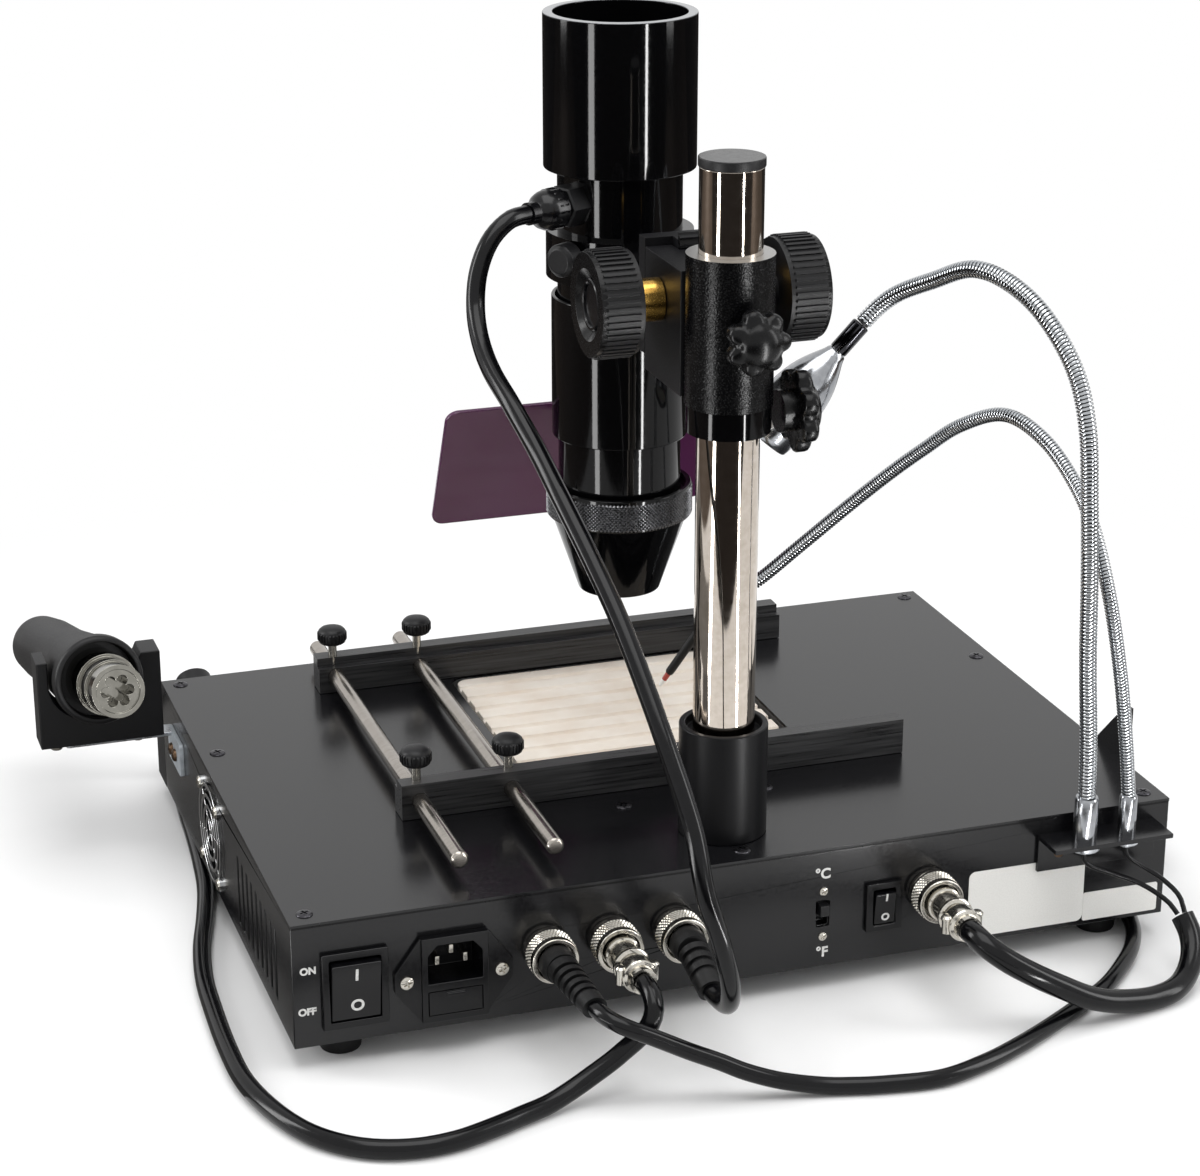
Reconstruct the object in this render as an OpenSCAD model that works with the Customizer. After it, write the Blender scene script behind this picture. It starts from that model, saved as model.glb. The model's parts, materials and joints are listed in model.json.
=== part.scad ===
// Infrared rework station: a flat heater case with a lamp on a pillar, a board holder, a hot-air gun,
// a soldering iron, a light and a temperature probe on goosenecks.
// Millimetres, +Z up, z = 0 on the bench, origin under the middle of the case.
// The operator sits at -Y. The rear panel with the sockets is at +Y, the fan side at +X.

/* [Case] */
// Width of the case from side to side
case_w = 390; // [384:1:410]
// Depth of the case from front to rear
case_d = 272; // [268:1:290]
// Height of the case without its feet
case_h = 55; // [54:0.5:62]
// Thickness of the folded sheet of the tray
wall = 1.2; // [1:0.1:2]
// Thickness of the flat top cover
cover_t = 1.5; // [1:0.1:2.5]
// Width of the screw flange under the cover
flange_w = 14; // [12:0.5:20]
// Reach of the sloped front panel in front of the tray
slope_run = 20; // [14:0.5:22]
// Height of the slope below the top of the cover
slope_drop = 36; // [34:0.5:40]
// Height of a rubber foot
foot_h = 11; // [10:0.5:15]
// Diameter of a rubber foot
foot_d = 20; // [14:1:24]
// Diameter of a cover screw's head
screw_head_d = 7; // [5:0.1:8]
// Height of a cover screw's head
screw_head_h = 1.6; // [1:0.1:3]
// Diameter of a cover screw's shank
screw_d = 3; // [2.5:0.1:4]
// Distance from the side of the case to a cover screw
screw_inset = 8; // [6:0.5:10]

/* [Heater] */
// Side of the square heater window in the cover
window = 131; // [120:1:136]
// Middle of the window, side to side
heater_x = -1.5; // [-5:0.5:5]
// Middle of the window, front to rear
heater_y = -32; // [-36:0.5:-28]
// Corner radius of the window
window_r = 8; // [4:0.5:12]
// Depth of the heater pan under the cover
pan_depth = 34; // [28:1:40]
// Gap around the ceramic plate
heater_gap = 2.5; // [1.5:0.1:4]
// Thickness of the ceramic plate
heater_t = 14; // [10:0.5:18]
// Drop of the ceramic plate below the top of the cover
heater_drop = 1; // [0.5:0.1:3]
// Number of grooves across the ceramic plate
groove_count = 9; // [5:1:12]
// Depth of a groove
groove_depth = 2; // [1:0.1:3]

/* [Pillar] */
// Distance of the pillar's axis behind the middle of the case
pillar_y = 103; // [101:0.5:106]
// Outer diameter of the pillar
pillar_d = 26; // [23:0.5:26]
// Wall of the pillar tube
pillar_wall = 2; // [1.5:0.1:3]
// Height of the pillar's end above the cover
pillar_h = 285; // [282:1:310]
// Height of the cap
cap_h = 4; // [3:0.5:8]
// Diameter of the socket at the pillar's foot
socket_d = 37.5; // [36:0.5:42]
// Height of the socket
socket_h = 49; // [40:1:60]
// Clearance between a bore and what runs or fits in it
fit = 0.05; // [0.03:0.01:0.08]

/* [Carriage] */
// Height of the stop collar's underside above the cover
collar_z = 177; // [170:1:180]
// Height of the stop collar
collar_h = 11; // [9:0.5:12]
// Diameter of the stop collar
collar_d = 35; // [33:0.5:37]
// Diameter of the carriage column
carriage_d = 36; // [34:0.5:38]
// Height of the carriage column
carriage_h = 62; // [60:0.5:68]
// Gap between pieces that move past each other
gap = 0.3; // [0.2:0.05:0.5]
// Diameter of the carriage's star knob
star_d = 27; // [22:0.5:30]
// Diameter of the stop collar's star knob
collar_star_d = 35; // [30:0.5:36]
// Number of lobes on a star knob
star_lobes = 7; // [5:1:9]
// Thickness of a star knob's lobes
star_t = 9; // [7:0.5:11]
// Diameter of a clamp screw's stud
stud_d = 6; // [5:0.5:8]
// Bare length of a clamp screw's stud
stud_bare = 4; // [3:0.5:7]

/* [Focus drive] */
// Width of the focus block
block_w = 36; // [28:1:37]
// Distance of the block's front face behind the middle of the case
block_front = 52; // [50:0.5:54]
// Height of the focus block
block_h = 59; // [56:0.5:60]
// Distance of the focus shaft behind the middle of the case
shaft_y = 70; // [69.5:0.1:70.5]
// Height of the focus shaft above the cover
shaft_z = 224.5; // [222:0.5:227]
// Diameter of the focus shaft
shaft_d = 8; // [6:0.5:10]
// Number of pinion teeth
pinion_teeth = 20; // [18:1:22]
// Module of the rack and the pinion
gear_module = 1; // [0.9:0.05:1.05]
// Width of the rack
rack_w = 12; // [9:0.5:14]
// Outer diameter of a brass bush
bush_d = 18; // [15:0.5:20]
// Length of a brass bush outside the block
bush_l = 10; // [7:0.5:13]
// Diameter of a focus knob
knob_d = 45; // [38:0.5:48]
// Width of a focus knob
knob_w = 21; // [16:0.5:24]
// Number of ribs round a focus knob
knob_ribs = 48; // [24:1:56]
// Thickness of the focus slide
slide_t = 7.5; // [6:0.5:9]

/* [Lamp] */
// Distance of the lamp's axis in front of the middle of the case
lamp_front = 33; // [31:0.5:35]
// Diameter of the lamp barrel
barrel_d = 55; // [53:0.5:56]
// Wall of the lamp barrel
barrel_wall = 2.5; // [1.5:0.1:3]
// Diameter of the loose sleeve
sleeve_d = 60.5; // [60:0.5:64]
// Wall of the sleeve
sleeve_wall = 1.6; // [1.2:0.1:2]
// Height of the sleeve
sleeve_h = 64; // [56:1:66]
// Diameter of the holder ring
ring_d = 65; // [63:0.5:70]
// Height of the holder ring
ring_h = 20.5; // [18:0.5:22]
// Diameter of the top shell
shell_d = 67; // [64:0.5:72]
// Height of the top shell
shell_h = 67; // [55:1:80]
// Wall of the top shell
shell_wall = 2.5; // [2:0.1:4]
// Wall of the knurled ring round the barrel
knurl_wall = 5; // [4:0.25:7.5]
// Height of the knurled ring
knurl_h = 14.8; // [12:0.1:18]
// Diameter of the cone where it meets the knurled ring
cone_d = 61.5; // [58:0.5:64]
// Diameter of the cone's mouth
cone_mouth_d = 37; // [30:0.5:44]
// Height of the cone
cone_h = 34; // [28:0.5:36]
// Wall of the cone
cone_wall = 2; // [1.5:0.1:3]
// Width of the visor plate
visor_w = 136; // [110:1:140]
// Length of the visor plate
visor_l = 71; // [60:1:72]
// Thickness of the visor plate
visor_t = 2; // [1.5:0.1:3]
// Tilt of the visor from upright
visor_tilt = 26; // [22:0.5:30]

/* [Board holder] */
// Length of a rail
rail_l = 232; // [226:1:240]
// Width of a rail
rail_w = 12; // [10:0.5:14]
// Height of a rail
rail_h = 16; // [14:0.5:18]
// Place of the end of the rails on the fan side
rail_end_x = 127; // [126:0.5:130]
// Distance of the front rail's middle in front of the middle of the case
front_rail_y = 102; // [98:0.5:105]
// Distance of the rear rail's middle behind the middle of the case
rear_rail_y = 48; // [44:0.5:50]
// Width and depth of the board ledge cut along a rail
ledge = 4; // [2:0.5:5]
// Diameter of a guide rod
rod_d = 7.6; // [6:0.1:9]
// Length of a guide rod
rod_l = 251; // [246:1:254]
// Distance of a rod's axis from the end of the rails
rod_inset = 8; // [7:0.5:10]
// Distance between the two rods
rod_pitch = 41; // [36:0.5:50]
// Diameter of a thumb screw's head
thumb_d = 13.5; // [11:0.5:16]
// Height of a thumb screw's head
thumb_h = 8; // [6:0.5:10]
// Diameter of a thumb screw's stem
thumb_stem_d = 4; // [3:0.5:5]
// Clear height of a thumb screw's head above its rail
thumb_lift = 7; // [4:0.5:9]

/* [Rear panel] */
// Width of the power switch
power_w = 27.4; // [26:0.2:30]
// Height of the power switch
power_h = 34; // [32:0.2:36]
// Width of the lights switch
lights_w = 16.2; // [15:0.2:18]
// Height of the lights switch
lights_h = 22.6; // [21:0.2:25]
// Width of a switch's rim
rim_w = 3.2; // [2.8:0.1:3.6]
// Height of a switch's rim above the panel
rim_h = 2.4; // [1.5:0.1:4]
// Rock of a switch either side of its middle
rock = 7; // [4:0.5:8]
// Distance between the screws of the mains inlet
inlet_pitch = 40; // [39:0.1:41]
// Width of the mains inlet's face
inlet_w = 28; // [27:0.2:30]
// Height of the mains inlet's face with its fuse drawer
inlet_h = 38; // [36:0.2:40]
// Height of the mains inlet's face above the panel
inlet_proud = 4; // [3:0.5:6]
// Drop of the row of round connectors below the cover
plug_drop = 26; // [25:0.5:28]
// Diameter of a round connector's coupling ring
plug_ring_d = 20; // [18:0.5:22]
// Length of a coupling ring
plug_ring_l = 11; // [9:0.5:12]

/* [Cooling] */
// Side of the square fan
fan_w = 42; // [40:0.5:44]
// Distance between the fan's screws
fan_pitch = 35; // [33:0.5:36]
// Depth of the fan
fan_t = 15; // [12:1:20]
// Diameter of a guard wire
guard_wire = 1.8; // [1.4:0.1:2.4]
// Number of vent slots
slot_count = 9; // [5:1:9]
// Distance between vent slots
slot_pitch = 9; // [7:0.5:9]
// Width of a vent slot
slot_w = 3; // [2:0.5:4]
// Height of a vent slot
slot_h = 32; // [24:1:34]

/* [Handsets] */
// Diameter of the hot-air gun's handle
gun_d = 35; // [33:0.5:37]
// Diameter of the gun's front rim
gun_rim_d = 41; // [39:0.5:44]
// Diameter of the gun's nozzle
nozzle_d = 27.5; // [24:0.5:29]
// Length of the nozzle in front of the gun's rim
nozzle_l = 34; // [28:1:38]
// Length of the gun's handle behind its rim
gun_l = 84; // [80:1:86]
// Width of the gun's holder block
holder_w = 57; // [55:0.5:60]
// Height of the gun's holder block
holder_h = 47; // [44:0.5:50]
// Thickness of the gun's holder block
holder_block = 16; // [12:0.5:17]
// Thickness of the holders' sheet metal
holder_t = 2; // [1.5:0.1:3]
// Diameter of the soldering iron's handle
iron_d = 21; // [18:0.5:23]
// Length of the soldering iron's handle
iron_l = 118; // [105:1:120]

/* [Goosenecks] */
// Diameter of the light's gooseneck
light_neck_d = 7.6; // [7:0.1:8]
// Diameter of the probe's gooseneck
probe_neck_d = 6.2; // [5:0.1:7]
// Depth of the bracket's shelf
shelf_d = 18; // [17:0.5:20]
// Thickness of the bracket
shelf_t = 2; // [1.5:0.1:2.5]

/* [Hidden] */
$fn = 64;
eps = 0.01;
half_w = case_w / 2;
half_d = case_d / 2;
z_top = foot_h + case_h;
tray_h = case_h - cover_t;
screw_hole_d = screw_d + 0.4;
black = "#19191b";
gloss = "#101012";
chrome = "#c9cbcd";

// Cover screws: two rows of three at the sides, and three round the pillar.
side_screw_y = [half_d - 9, -43, 7 - half_d];
pillar_screws = [[32.5, pillar_y - 34], [-32.5, pillar_y - 33], [0, pillar_y + 24]];
feet_xy = [half_w - 23, half_d - 18];

// Heights on the rear panel, and places along it.
power_at = [half_w - 25.5, z_top - 31];
lights_at = [-60.7, z_top - 30.3];
inlet_at = [half_w - 66.6, z_top - 31.6];
unit_at = [-33.5, z_top - 30.3];
plug_x = [89, 61, 33, -82];
plug_z = z_top - plug_drop;
unit_slot = [4.2, 10.4];
unit_pitch = 21;
unit_travel = 2.2;

// Fan and vents on the +X side.
fan_at = [-22.5, z_top - 29];
slot_start_y = 34;
slot_mid_z = z_top - 31.5;
pan_out = window + 4;
heater_w = window - 2 * heater_gap;

// The lamp stands on one axis, its pieces stacked between these heights.
lamp_at = [0, -lamp_front];
cone_z = z_top + 60.7;
knurl_z = cone_z + cone_h;
sleeve_z = z_top + 136;
ring_z = z_top + 209;
shell_z = z_top + 257;
gland_z = z_top + 244;
gland_turn = 25;
gland_l = 27;
screw_turn = 33;
ring_screw_z = ring_z + ring_h / 2 + 3;

// The carriage stands on the stop collar.
carriage_z = z_top + collar_z + collar_h + gap;
block_z = carriage_z + 1.7;
collar_knob_z = z_top + collar_z + collar_h / 2;
carriage_knob_z = carriage_z + 33;
shaft_at = [shaft_y, z_top + shaft_z];
pitch_r = gear_module * pinion_teeth / 2;
rack_y = shaft_y - pitch_r;
tooth_pitch = PI * gear_module;
tooth_play = 0.25;
slide_y = block_front - gap - slide_t;
slide_h = 56;
arm_w = 22;
bush_bore = shaft_d + 2 * fit;

// The visor hangs on a hinge in front of the sleeve.
visor_axis = [-lamp_front - 41.5, z_top + 131];
hinge_d = 6;
hinge_pin_d = 3;
hinge_w = 14;
ear_w = 3;

// The hot-air gun lies in its holder, nose to the rear.
holder_front = -99;
holder_y = holder_front - holder_block / 2;
holder_x = half_w + 6;
holder_base = z_top - 12;
gun_at = [half_w + 37.5, -91.8, z_top + 23.8];
gun_yaw = 5;
gun_pitch = 12;
gun_axis = [-sin(gun_yaw) * cos(gun_pitch), cos(gun_yaw) * cos(gun_pitch), sin(gun_pitch)];
gun_slot_r = gun_d / 2 + 1.6;

// The soldering iron lies along the -X side, tip to the rear.
iron_at = [-half_w - 22, 30, z_top - 41];
iron_tube_l = 46;

// Space between a clamp and the end of its cord.
clamp_gap = 0.5;

// Gooseneck bracket on the rear panel.
shelf_x = [-191, -132];
shelf_z = z_top - 8;
neck_y = half_d + 9;
light_neck_x = -150;
probe_neck_x = -170;

// Routes, chosen by hand. Each ends on the face of the piece that it leaves.
lamp_route = [[49.7, -9.8, 310], [59, -5.5, 309], [68.5, -2, 301.5], [75, 2, 289], [78, 8, 275],
    [79.5, 20, 264.5], [79.5, 36, 256], [77, 55, 247], [73, 76, 234], [70, 98, 220.5],
    [65.5, 122, 203], [61, 145, 184],
    [57.5, 167, 163], [54.5, 187, 142], [51, 205, 118], [47.5, 219, 92], [43.5, 229, 65], [40, 231, 47],
    [37.3, 225.5, 33.5], [35.3, 214.5, 27], [34, 203, 26.2], [33, 191.5, 28.6], [33, 180.3, 32.4]];
solder_route = [[89, 191, 32.5], [88.8, 198, 30.9], [86, 204, 30.2], [80, 207.5, 29.6], [72, 208.8, 28.3],
    [60, 208.3, 23.5], [47, 206.5, 16], [32, 209, 9.5], [16, 213, 5], [-2, 218, 3.6], [-25, 224.5, 3.6],
    [-48, 227, 3.6], [-70, 221, 3.6], [-90, 212, 3.6], [-110, 201, 3.6], [-128, 190, 3.6], [-146, 178, 3.6],
    [-161, 164, 3.6], [-174, 149, 3.6], [-184, 131, 3.6], [-188, 112, 3.6], [-184, 85, 3.6], [-172, 50, 3.6],
    [-160, 5, 3.6], [-150, -40, 3.6], [-145, -80, 3.6], [-145, -115, 3.6], [-150, -145, 3.6], [-164, -168, 5],
    [-186, -178, 9], [-206, -170, 15], [-215.5, -152, 20.5], [-217, -130, 24.2], [-217, -106.4, 25]];
hot_air_route = [[61, 178, 40], [61, 187, 39], [61.2, 194, 35], [62, 197, 28], [64, 197, 20.5],
    [69, 195.5, 13.5], [78, 194, 8], [90, 194, 5], [103, 197, 4.2], [117, 202, 4.1], [133, 208, 4.1],
    [150, 213, 4.1],
    [168, 213, 4.1], [186, 206, 4.1], [201, 191, 4.1], [211, 169, 4.1], [217, 143, 4.1], [218, 114, 4.1],
    [217, 82, 4.1], [215, 52, 4.1], [210, 22, 4.1], [203, -6, 4.1], [197, -34, 4.1], [193.5, -62, 4.1],
    [191, -92, 4.1], [189.5, -116, 4.1], [187.5, -138, 4.1], [186, -155, 4.4], [185, -166, 9.5],
    [186.5, -173, 19], [192, -177, 29.5], [201, -181, 38.5], [212, -185, 46.5], [222, -188.5, 53.5],
    [231, -189.5, 61], [237.5, -186.5, 67.5],
    gun_at - (gun_l + 7) * gun_axis, gun_at - (gun_l + 0.4) * gun_axis];
lights_route = [[-82, 178, 40], [-82.1, 184, 39.9], [-84.8, 190, 37.5], [-92, 195, 32.3], [-102, 198.3, 26.3],
    [-114, 200, 19.6], [-127, 200.5, 12.8],
    [-141, 199, 8], [-157, 196.5, 5.2], [-170, 193, 5.2], [-180, 186, 7], [-187, 178, 12], [-189.5, 171, 18],
    [-188.6, 165, 24]];
light_wire_route = [[-186.6, 164.3, 24.8], [-183, 160, 30], [-174, 153, 36], [-162, 147.5, 40.5],
    [-153.5, 145.5, 44], [-150.2, 145, 47.4], [-150, 145, 50.6]];
probe_wire_route = [[-190, 164.4, 25], [-189.5, 159, 31], [-184.5, 152, 36.5], [-177, 147, 41.5],
    [-172, 145.2, 45], [-170.1, 145, 48], [-170, 145, 50.6]];
light_neck_route = [[-150, neck_y, shelf_z + 18], [-149, neck_y, 104], [-147, neck_y - 1, 140],
    [-146, neck_y - 2, 176], [-146, neck_y - 6, 208], [-146, 134, 237], [-143.5, 125, 260], [-136, 110, 280],
    [-128, 92, 290.5], [-119, 75, 293], [-110.5, 54, 283.5], [-102.4, 40, 275.7],
    [-96.3, 33, 268.6], [-88.8, 31, 260.7]];
probe_neck_route = [[-170, neck_y, shelf_z + 16], [-167, neck_y, 100], [-163, neck_y - 1, 130],
    [-158, 140, 163], [-154, 130, 191], [-150.4, 118, 208], [-144, 100, 223], [-136, 78, 228.5],
    [-125, 58, 219], [-115.7, 42, 204.6], [-106, 28, 190], [-93, 14, 172], [-75, 2, 151], [-58, -6, 133.5],
    [-45, -8.6, 126], [-38, -10.2, 119.8], [-35, -11.8, 114.5]];
light_mouth = [-47.1, 22, 211.2];
probe_tip = [-16.1, -22, 80.5];
lamp_cord_d = 8;
solder_cord_d = 7;
hot_air_cord_d = 8;
lights_cord_d = 10;
wire_d = 2.2;

function unit(v) = v / norm(v);
function tangent(p, i) = unit(p[min(i + 1, len(p) - 1)] - p[max(i - 1, 0)]);
function across(v, t) = unit(v - (v * t) * t);
function sides(p, i, v) = i == len(p) ? [] :
    let (m = across(v, tangent(p, i))) concat([m], sides(p, i + 1, m));
// A point between two route points, on a smooth curve through four of them.
function between(a, b, c, d, t) =
    b + t / 2 * ((c - a) + t * ((2 * a - 5 * b + 4 * c - d) + t * (3 * (b - c) + d - a)));
function smooth(p, steps) = [for (i = [0:len(p) - 2], s = [0:steps - 1])
    between(p[max(i - 1, 0)], p[i], p[i + 1], p[min(i + 2, len(p) - 1)], s / steps), p[len(p) - 1]];

// A round tube swept along a route, closed at both ends.
module tube_along(p, d, n) {
    m = sides(p, 0, abs(tangent(p, 0) * [0, 0, 1]) > 0.9 ? [1, 0, 0] : [0, 0, 1]);
    points = [for (i = [0:len(p) - 1], k = [0:n - 1])
        p[i] + d / 2 * (cos(360 * k / n) * m[i] + sin(360 * k / n) * cross(tangent(p, i), m[i]))];
    walls = [for (i = [0:len(p) - 2], k = [0:n - 1]) each
        let (a = i * n + k, b = i * n + (k + 1) % n) [[a, a + n, b], [b, a + n, b + n]]];
    ends = [[for (k = [0:n - 1]) k], [for (k = [n - 1:-1:0]) (len(p) - 1) * n + k]];
    polyhedron(points, concat(walls, ends), convexity = 10);
}

// Turns a shape that stands along +Z so that it points along v.
module along(v) {
    rotate([0, acos(v[2] / norm(v)), atan2(v[1], v[0])]) children();
}

module to_rear(at, y) {
    translate([at[0], y, at[1]]) rotate([-90, 0, 0]) children();
}

module rounded(w, h, r) {
    for (s = [0, 1]) square(s == 0 ? [w - 2 * r, h] : [w, h - 2 * r], center = true);
    for (x = [-1, 1], y = [-1, 1]) translate([x * (w / 2 - r), y * (h / 2 - r)]) circle(r);
}

module ring(d, bore, h) {
    difference() {
        cylinder(d = d, h = h);
        translate([0, 0, -eps]) cylinder(d = bore, h = h + 2 * eps);
    }
}

// Case

module cover_screw_places() {
    for (s = [-1, 1], y = side_screw_y) translate([s * (half_w - screw_inset), y, 0]) children();
    for (p = pillar_screws) translate([p[0], p[1], 0]) children();
}

module rear_cut_outs() {
    for (a = [power_at, lights_at]) {
        big = a == power_at;
        translate([a[0], half_d, a[1]])
            cube([(big ? power_w : lights_w) - 3, 4 * wall, (big ? power_h : lights_h) - 3], center = true);
    }
    translate([inlet_at[0], half_d, inlet_at[1]]) cube([inlet_w - 2, 4 * wall, inlet_h - 2], center = true);
    translate([unit_at[0], half_d, unit_at[1]])
        cube([unit_slot[0] + 1.6, 4 * wall, unit_slot[1] + 1.6], center = true);
    for (x = plug_x) to_rear([x, plug_z], half_d - 2 * wall) cylinder(d = 16.2, h = 4 * wall);
}

module base_tray() color(black) difference() {
    union() {
        difference() {
            translate([-half_w, -half_d, foot_h]) cube([case_w, case_d, tray_h]);
            translate([wall - half_w, wall - half_d, foot_h + wall])
                cube([case_w - 2 * wall, case_d - 2 * wall, tray_h]);
        }
        for (s = [0, 1]) translate([s * (case_w - flange_w) - half_w, -half_d, z_top - cover_t - wall])
            cube([flange_w, case_d, wall]);
    }
    translate([0, 0, z_top - cover_t - 2 * wall]) cover_screw_places()
        cylinder(d = screw_hole_d, h = 4 * wall);
    rear_cut_outs();
    translate([half_w, fan_at[0], fan_at[1]]) rotate([0, 90, 0])
        cylinder(d = fan_w - 4, h = 4 * wall, center = true);
    for (y = [-1, 1], z = [-1, 1])
        translate([half_w, fan_at[0] + y * fan_pitch / 2, fan_at[1] + z * fan_pitch / 2]) rotate([0, 90, 0])
            cylinder(d = screw_hole_d, h = 4 * wall, center = true);
    for (i = [0:slot_count - 1]) translate([half_w, slot_start_y + i * slot_pitch, slot_mid_z])
        cube([4 * wall, slot_w, slot_h], center = true);
    for (i = [-5:5]) translate([-110, i * 12, foot_h]) cube([60, 4, 4 * wall], center = true);
}

module top_cover() color(black) difference() {
    translate([-half_w, -half_d, z_top - cover_t]) cube([case_w, case_d, cover_t]);
    translate([heater_x, heater_y, z_top - 2 * cover_t]) linear_extrude(3 * cover_t)
        rounded(window, window, window_r);
    translate([0, 0, z_top - 2 * cover_t]) cover_screw_places() cylinder(d = screw_hole_d, h = 3 * cover_t);
}

module case_screws() color(chrome) {
    translate([0, 0, z_top]) cover_screw_places() {
        cylinder(d = screw_head_d, h = screw_head_h);
        translate([0, 0, -6]) cylinder(d = screw_d, h = 6);
    }
    for (s = [-1, 1]) to_rear([inlet_at[0] + s * inlet_pitch / 2, inlet_at[1]], half_d + 2)
        cylinder(d = 6, h = 1.6);
    for (s = [-1, 1]) to_rear([unit_at[0], unit_at[1] + s * unit_pitch / 2], half_d) cylinder(d = 4, h = 1);
}

module feet() color("#141414") for (x = [-1, 1], y = [-1, 1])
    translate([x * feet_xy[0], y * feet_xy[1], 0]) cylinder(d1 = foot_d - 3, d2 = foot_d, h = foot_h);

// Front panel: a sloped hood with three display windows and key fields.
fascia_t = 2.5;
slope_h = slope_drop - cover_t;
slope_l = norm([slope_run, slope_h]);
display_x = [-120, -20, 80];
display_down = 13;
key_down = 31;
knob_x = half_w - 19;
knob_down = 17;

// On the slope, that far down from its upper edge, with +Z out of it.
module on_slope(down) {
    translate([0, -half_d, z_top - cover_t]) rotate([atan2(slope_h, slope_run), 0, 0])
        translate([0, -down, 0]) children();
}

// The hood's outline from the side, set in by a thickness. The inner one reaches past its open back.
module hood_outline(t) {
    back = t > 0 ? 1 : 0;
    drop = t * slope_l / slope_run;
    polygon([[back - half_d, z_top - cover_t + back * slope_h / slope_run - drop],
        [t - half_d - slope_run, z_top - slope_drop + t * slope_h / slope_run - drop],
        [t - half_d - slope_run, foot_h + t], [back - half_d, foot_h + t]]);
}

module front_panel() {
    color("#202124") difference() {
        translate([-half_w, 0, 0]) rotate([90, 0, 90]) linear_extrude(case_w) hood_outline(0);
        translate([fascia_t - half_w, 0, 0]) rotate([90, 0, 90]) linear_extrude(case_w - 2 * fascia_t)
            hood_outline(fascia_t);
        on_slope(display_down) for (x = display_x) translate([x, 0, 0]) cube([52, 20, 2], center = true);
        on_slope(key_down) for (x = display_x, i = [-1, 0, 1]) translate([x + 18 * i, 0, 0])
            cylinder(d = 10, h = 0.8, center = true);
    }
    color("#3a0a0a") on_slope(display_down) for (x = display_x) translate([x, 0, fit - 0.5])
        cube([51.6, 19.6, 1], center = true);
}

module air_knob() color(black) on_slope(knob_down) translate([knob_x, 0, gap]) {
    cylinder(d = 22, h = 4);
    translate([0, 0, 4]) cylinder(d1 = 19, d2 = 17, h = 10);
}

// Heater

module heater_pan() color(chrome) translate([heater_x, heater_y, z_top - cover_t]) {
    difference() {
        union() {
            translate([0, 0, -wall]) linear_extrude(wall) square(pan_out + 2 * flange_w, center = true);
            translate([0, 0, -pan_depth]) linear_extrude(pan_depth) rounded(pan_out, pan_out, window_r);
        }
        translate([0, 0, wall - pan_depth]) linear_extrude(pan_depth)
            rounded(pan_out - 2 * wall, pan_out - 2 * wall, window_r - wall);
    }
    for (x = [-1, 1], y = [-1, 1]) translate([x, y, 0] * heater_w / 3 + [0, 0, wall - pan_depth])
        cylinder(d = 9, h = pan_depth - wall + cover_t - heater_drop - heater_t);
}

module ceramic_heater() color("#e9e2d2") translate([heater_x, heater_y, z_top - heater_drop - heater_t])
    difference() {
        linear_extrude(heater_t) rounded(heater_w, heater_w, window_r - 2);
        for (i = [0:groove_count - 1])
            translate([0, (i - (groove_count - 1) / 2) * heater_w / (groove_count + 0.5), heater_t])
                rotate([0, 90, 0]) cylinder(r = groove_depth, h = 2 * heater_w, center = true);
    }

// The circuit board stands beside the fan.
board_w = 82;
board_gap = 6.8;

module control_board() {
    color("#1f5a38") translate([half_w - wall - fan_t - board_gap - board_w, -95, foot_h + wall]) {
        translate([0, 0, 8]) cube([board_w, 60, 1.6]);
        for (x = [5, board_w - 5], y = [5, 55]) translate([x, y, 0]) cylinder(d = 6, h = 8);
    }
    color("#3c3c40") translate([-160, 20, foot_h + wall]) {
        cube([58, 48, 36]);
        translate([-5, 8, 0]) cube([68, 32, 28]);
    }
}

// Pillar

module pillar_socket() color(gloss) translate([0, pillar_y, z_top]) difference() {
    cylinder(d = socket_d, h = socket_h);
    translate([0, 0, 3]) cylinder(d = pillar_d + 2 * fit, h = socket_h);
    translate([0, 0, socket_h - 4]) cylinder(d = pillar_d + 6, h = socket_h);
}

module pillar() color(chrome) translate([0, pillar_y, z_top + 3])
    ring(pillar_d, pillar_d - 2 * pillar_wall, pillar_h - 3);

module pillar_cap() color(black) translate([0, pillar_y, z_top + pillar_h]) {
    cylinder(d = pillar_d + 1, h = cap_h);
    translate([0, 0, -8]) cylinder(d = pillar_d - 2 * pillar_wall - 2 * fit, h = 8);
}

// Clamp screws and carriage

module star_knob(reach, d) {
    cylinder(d = stud_d, h = reach + stud_bare);
    translate([0, 0, reach + stud_bare]) {
        cylinder(d = d * 0.5, h = 4);
        translate([0, 0, 4]) linear_extrude(star_t) {
            circle(d = d * 0.74);
            for (i = [0:star_lobes - 1]) rotate(i * 360 / star_lobes) translate([d * 0.36, 0])
                circle(d = d * 0.28);
        }
        translate([0, 0, 4 + star_t]) intersection() {
            cylinder(d = d * 0.6, h = 3);
            translate([0, 0, 3 - d]) sphere(d);
        }
    }
}

stud_gap = pillar_d / 2 + gap;

module stop_collar() color(gloss) translate([0, pillar_y, z_top + collar_z]) difference() {
    ring(collar_d, pillar_d + 2 * fit, collar_h);
    translate([0, 0, collar_h / 2]) rotate([0, -90, 0]) cylinder(d = stud_d + 2 * fit, h = collar_d);
}

module collar_knob() color(gloss) translate([-stud_gap, pillar_y, collar_knob_z]) rotate([0, -90, 0])
    star_knob(collar_d / 2 - stud_gap, collar_star_d);

module carriage() color(black) translate([0, pillar_y, carriage_z]) difference() {
    ring(carriage_d, pillar_d + 2 * fit, carriage_h);
    translate([0, 0, carriage_knob_z - carriage_z]) rotate([-90, 0, 0])
        cylinder(d = stud_d + 2 * fit, h = carriage_d);
}

module carriage_knob() color(gloss) translate([0, pillar_y + stud_gap, carriage_knob_z]) rotate([-90, 0, 0])
    star_knob(carriage_d / 2 - stud_gap, star_d);

// Focus drive

module across_x(y, z) {
    translate([0, y, z]) rotate([0, 90, 0]) children();
}

pocket_r = pitch_r + gear_module + 1;

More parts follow.
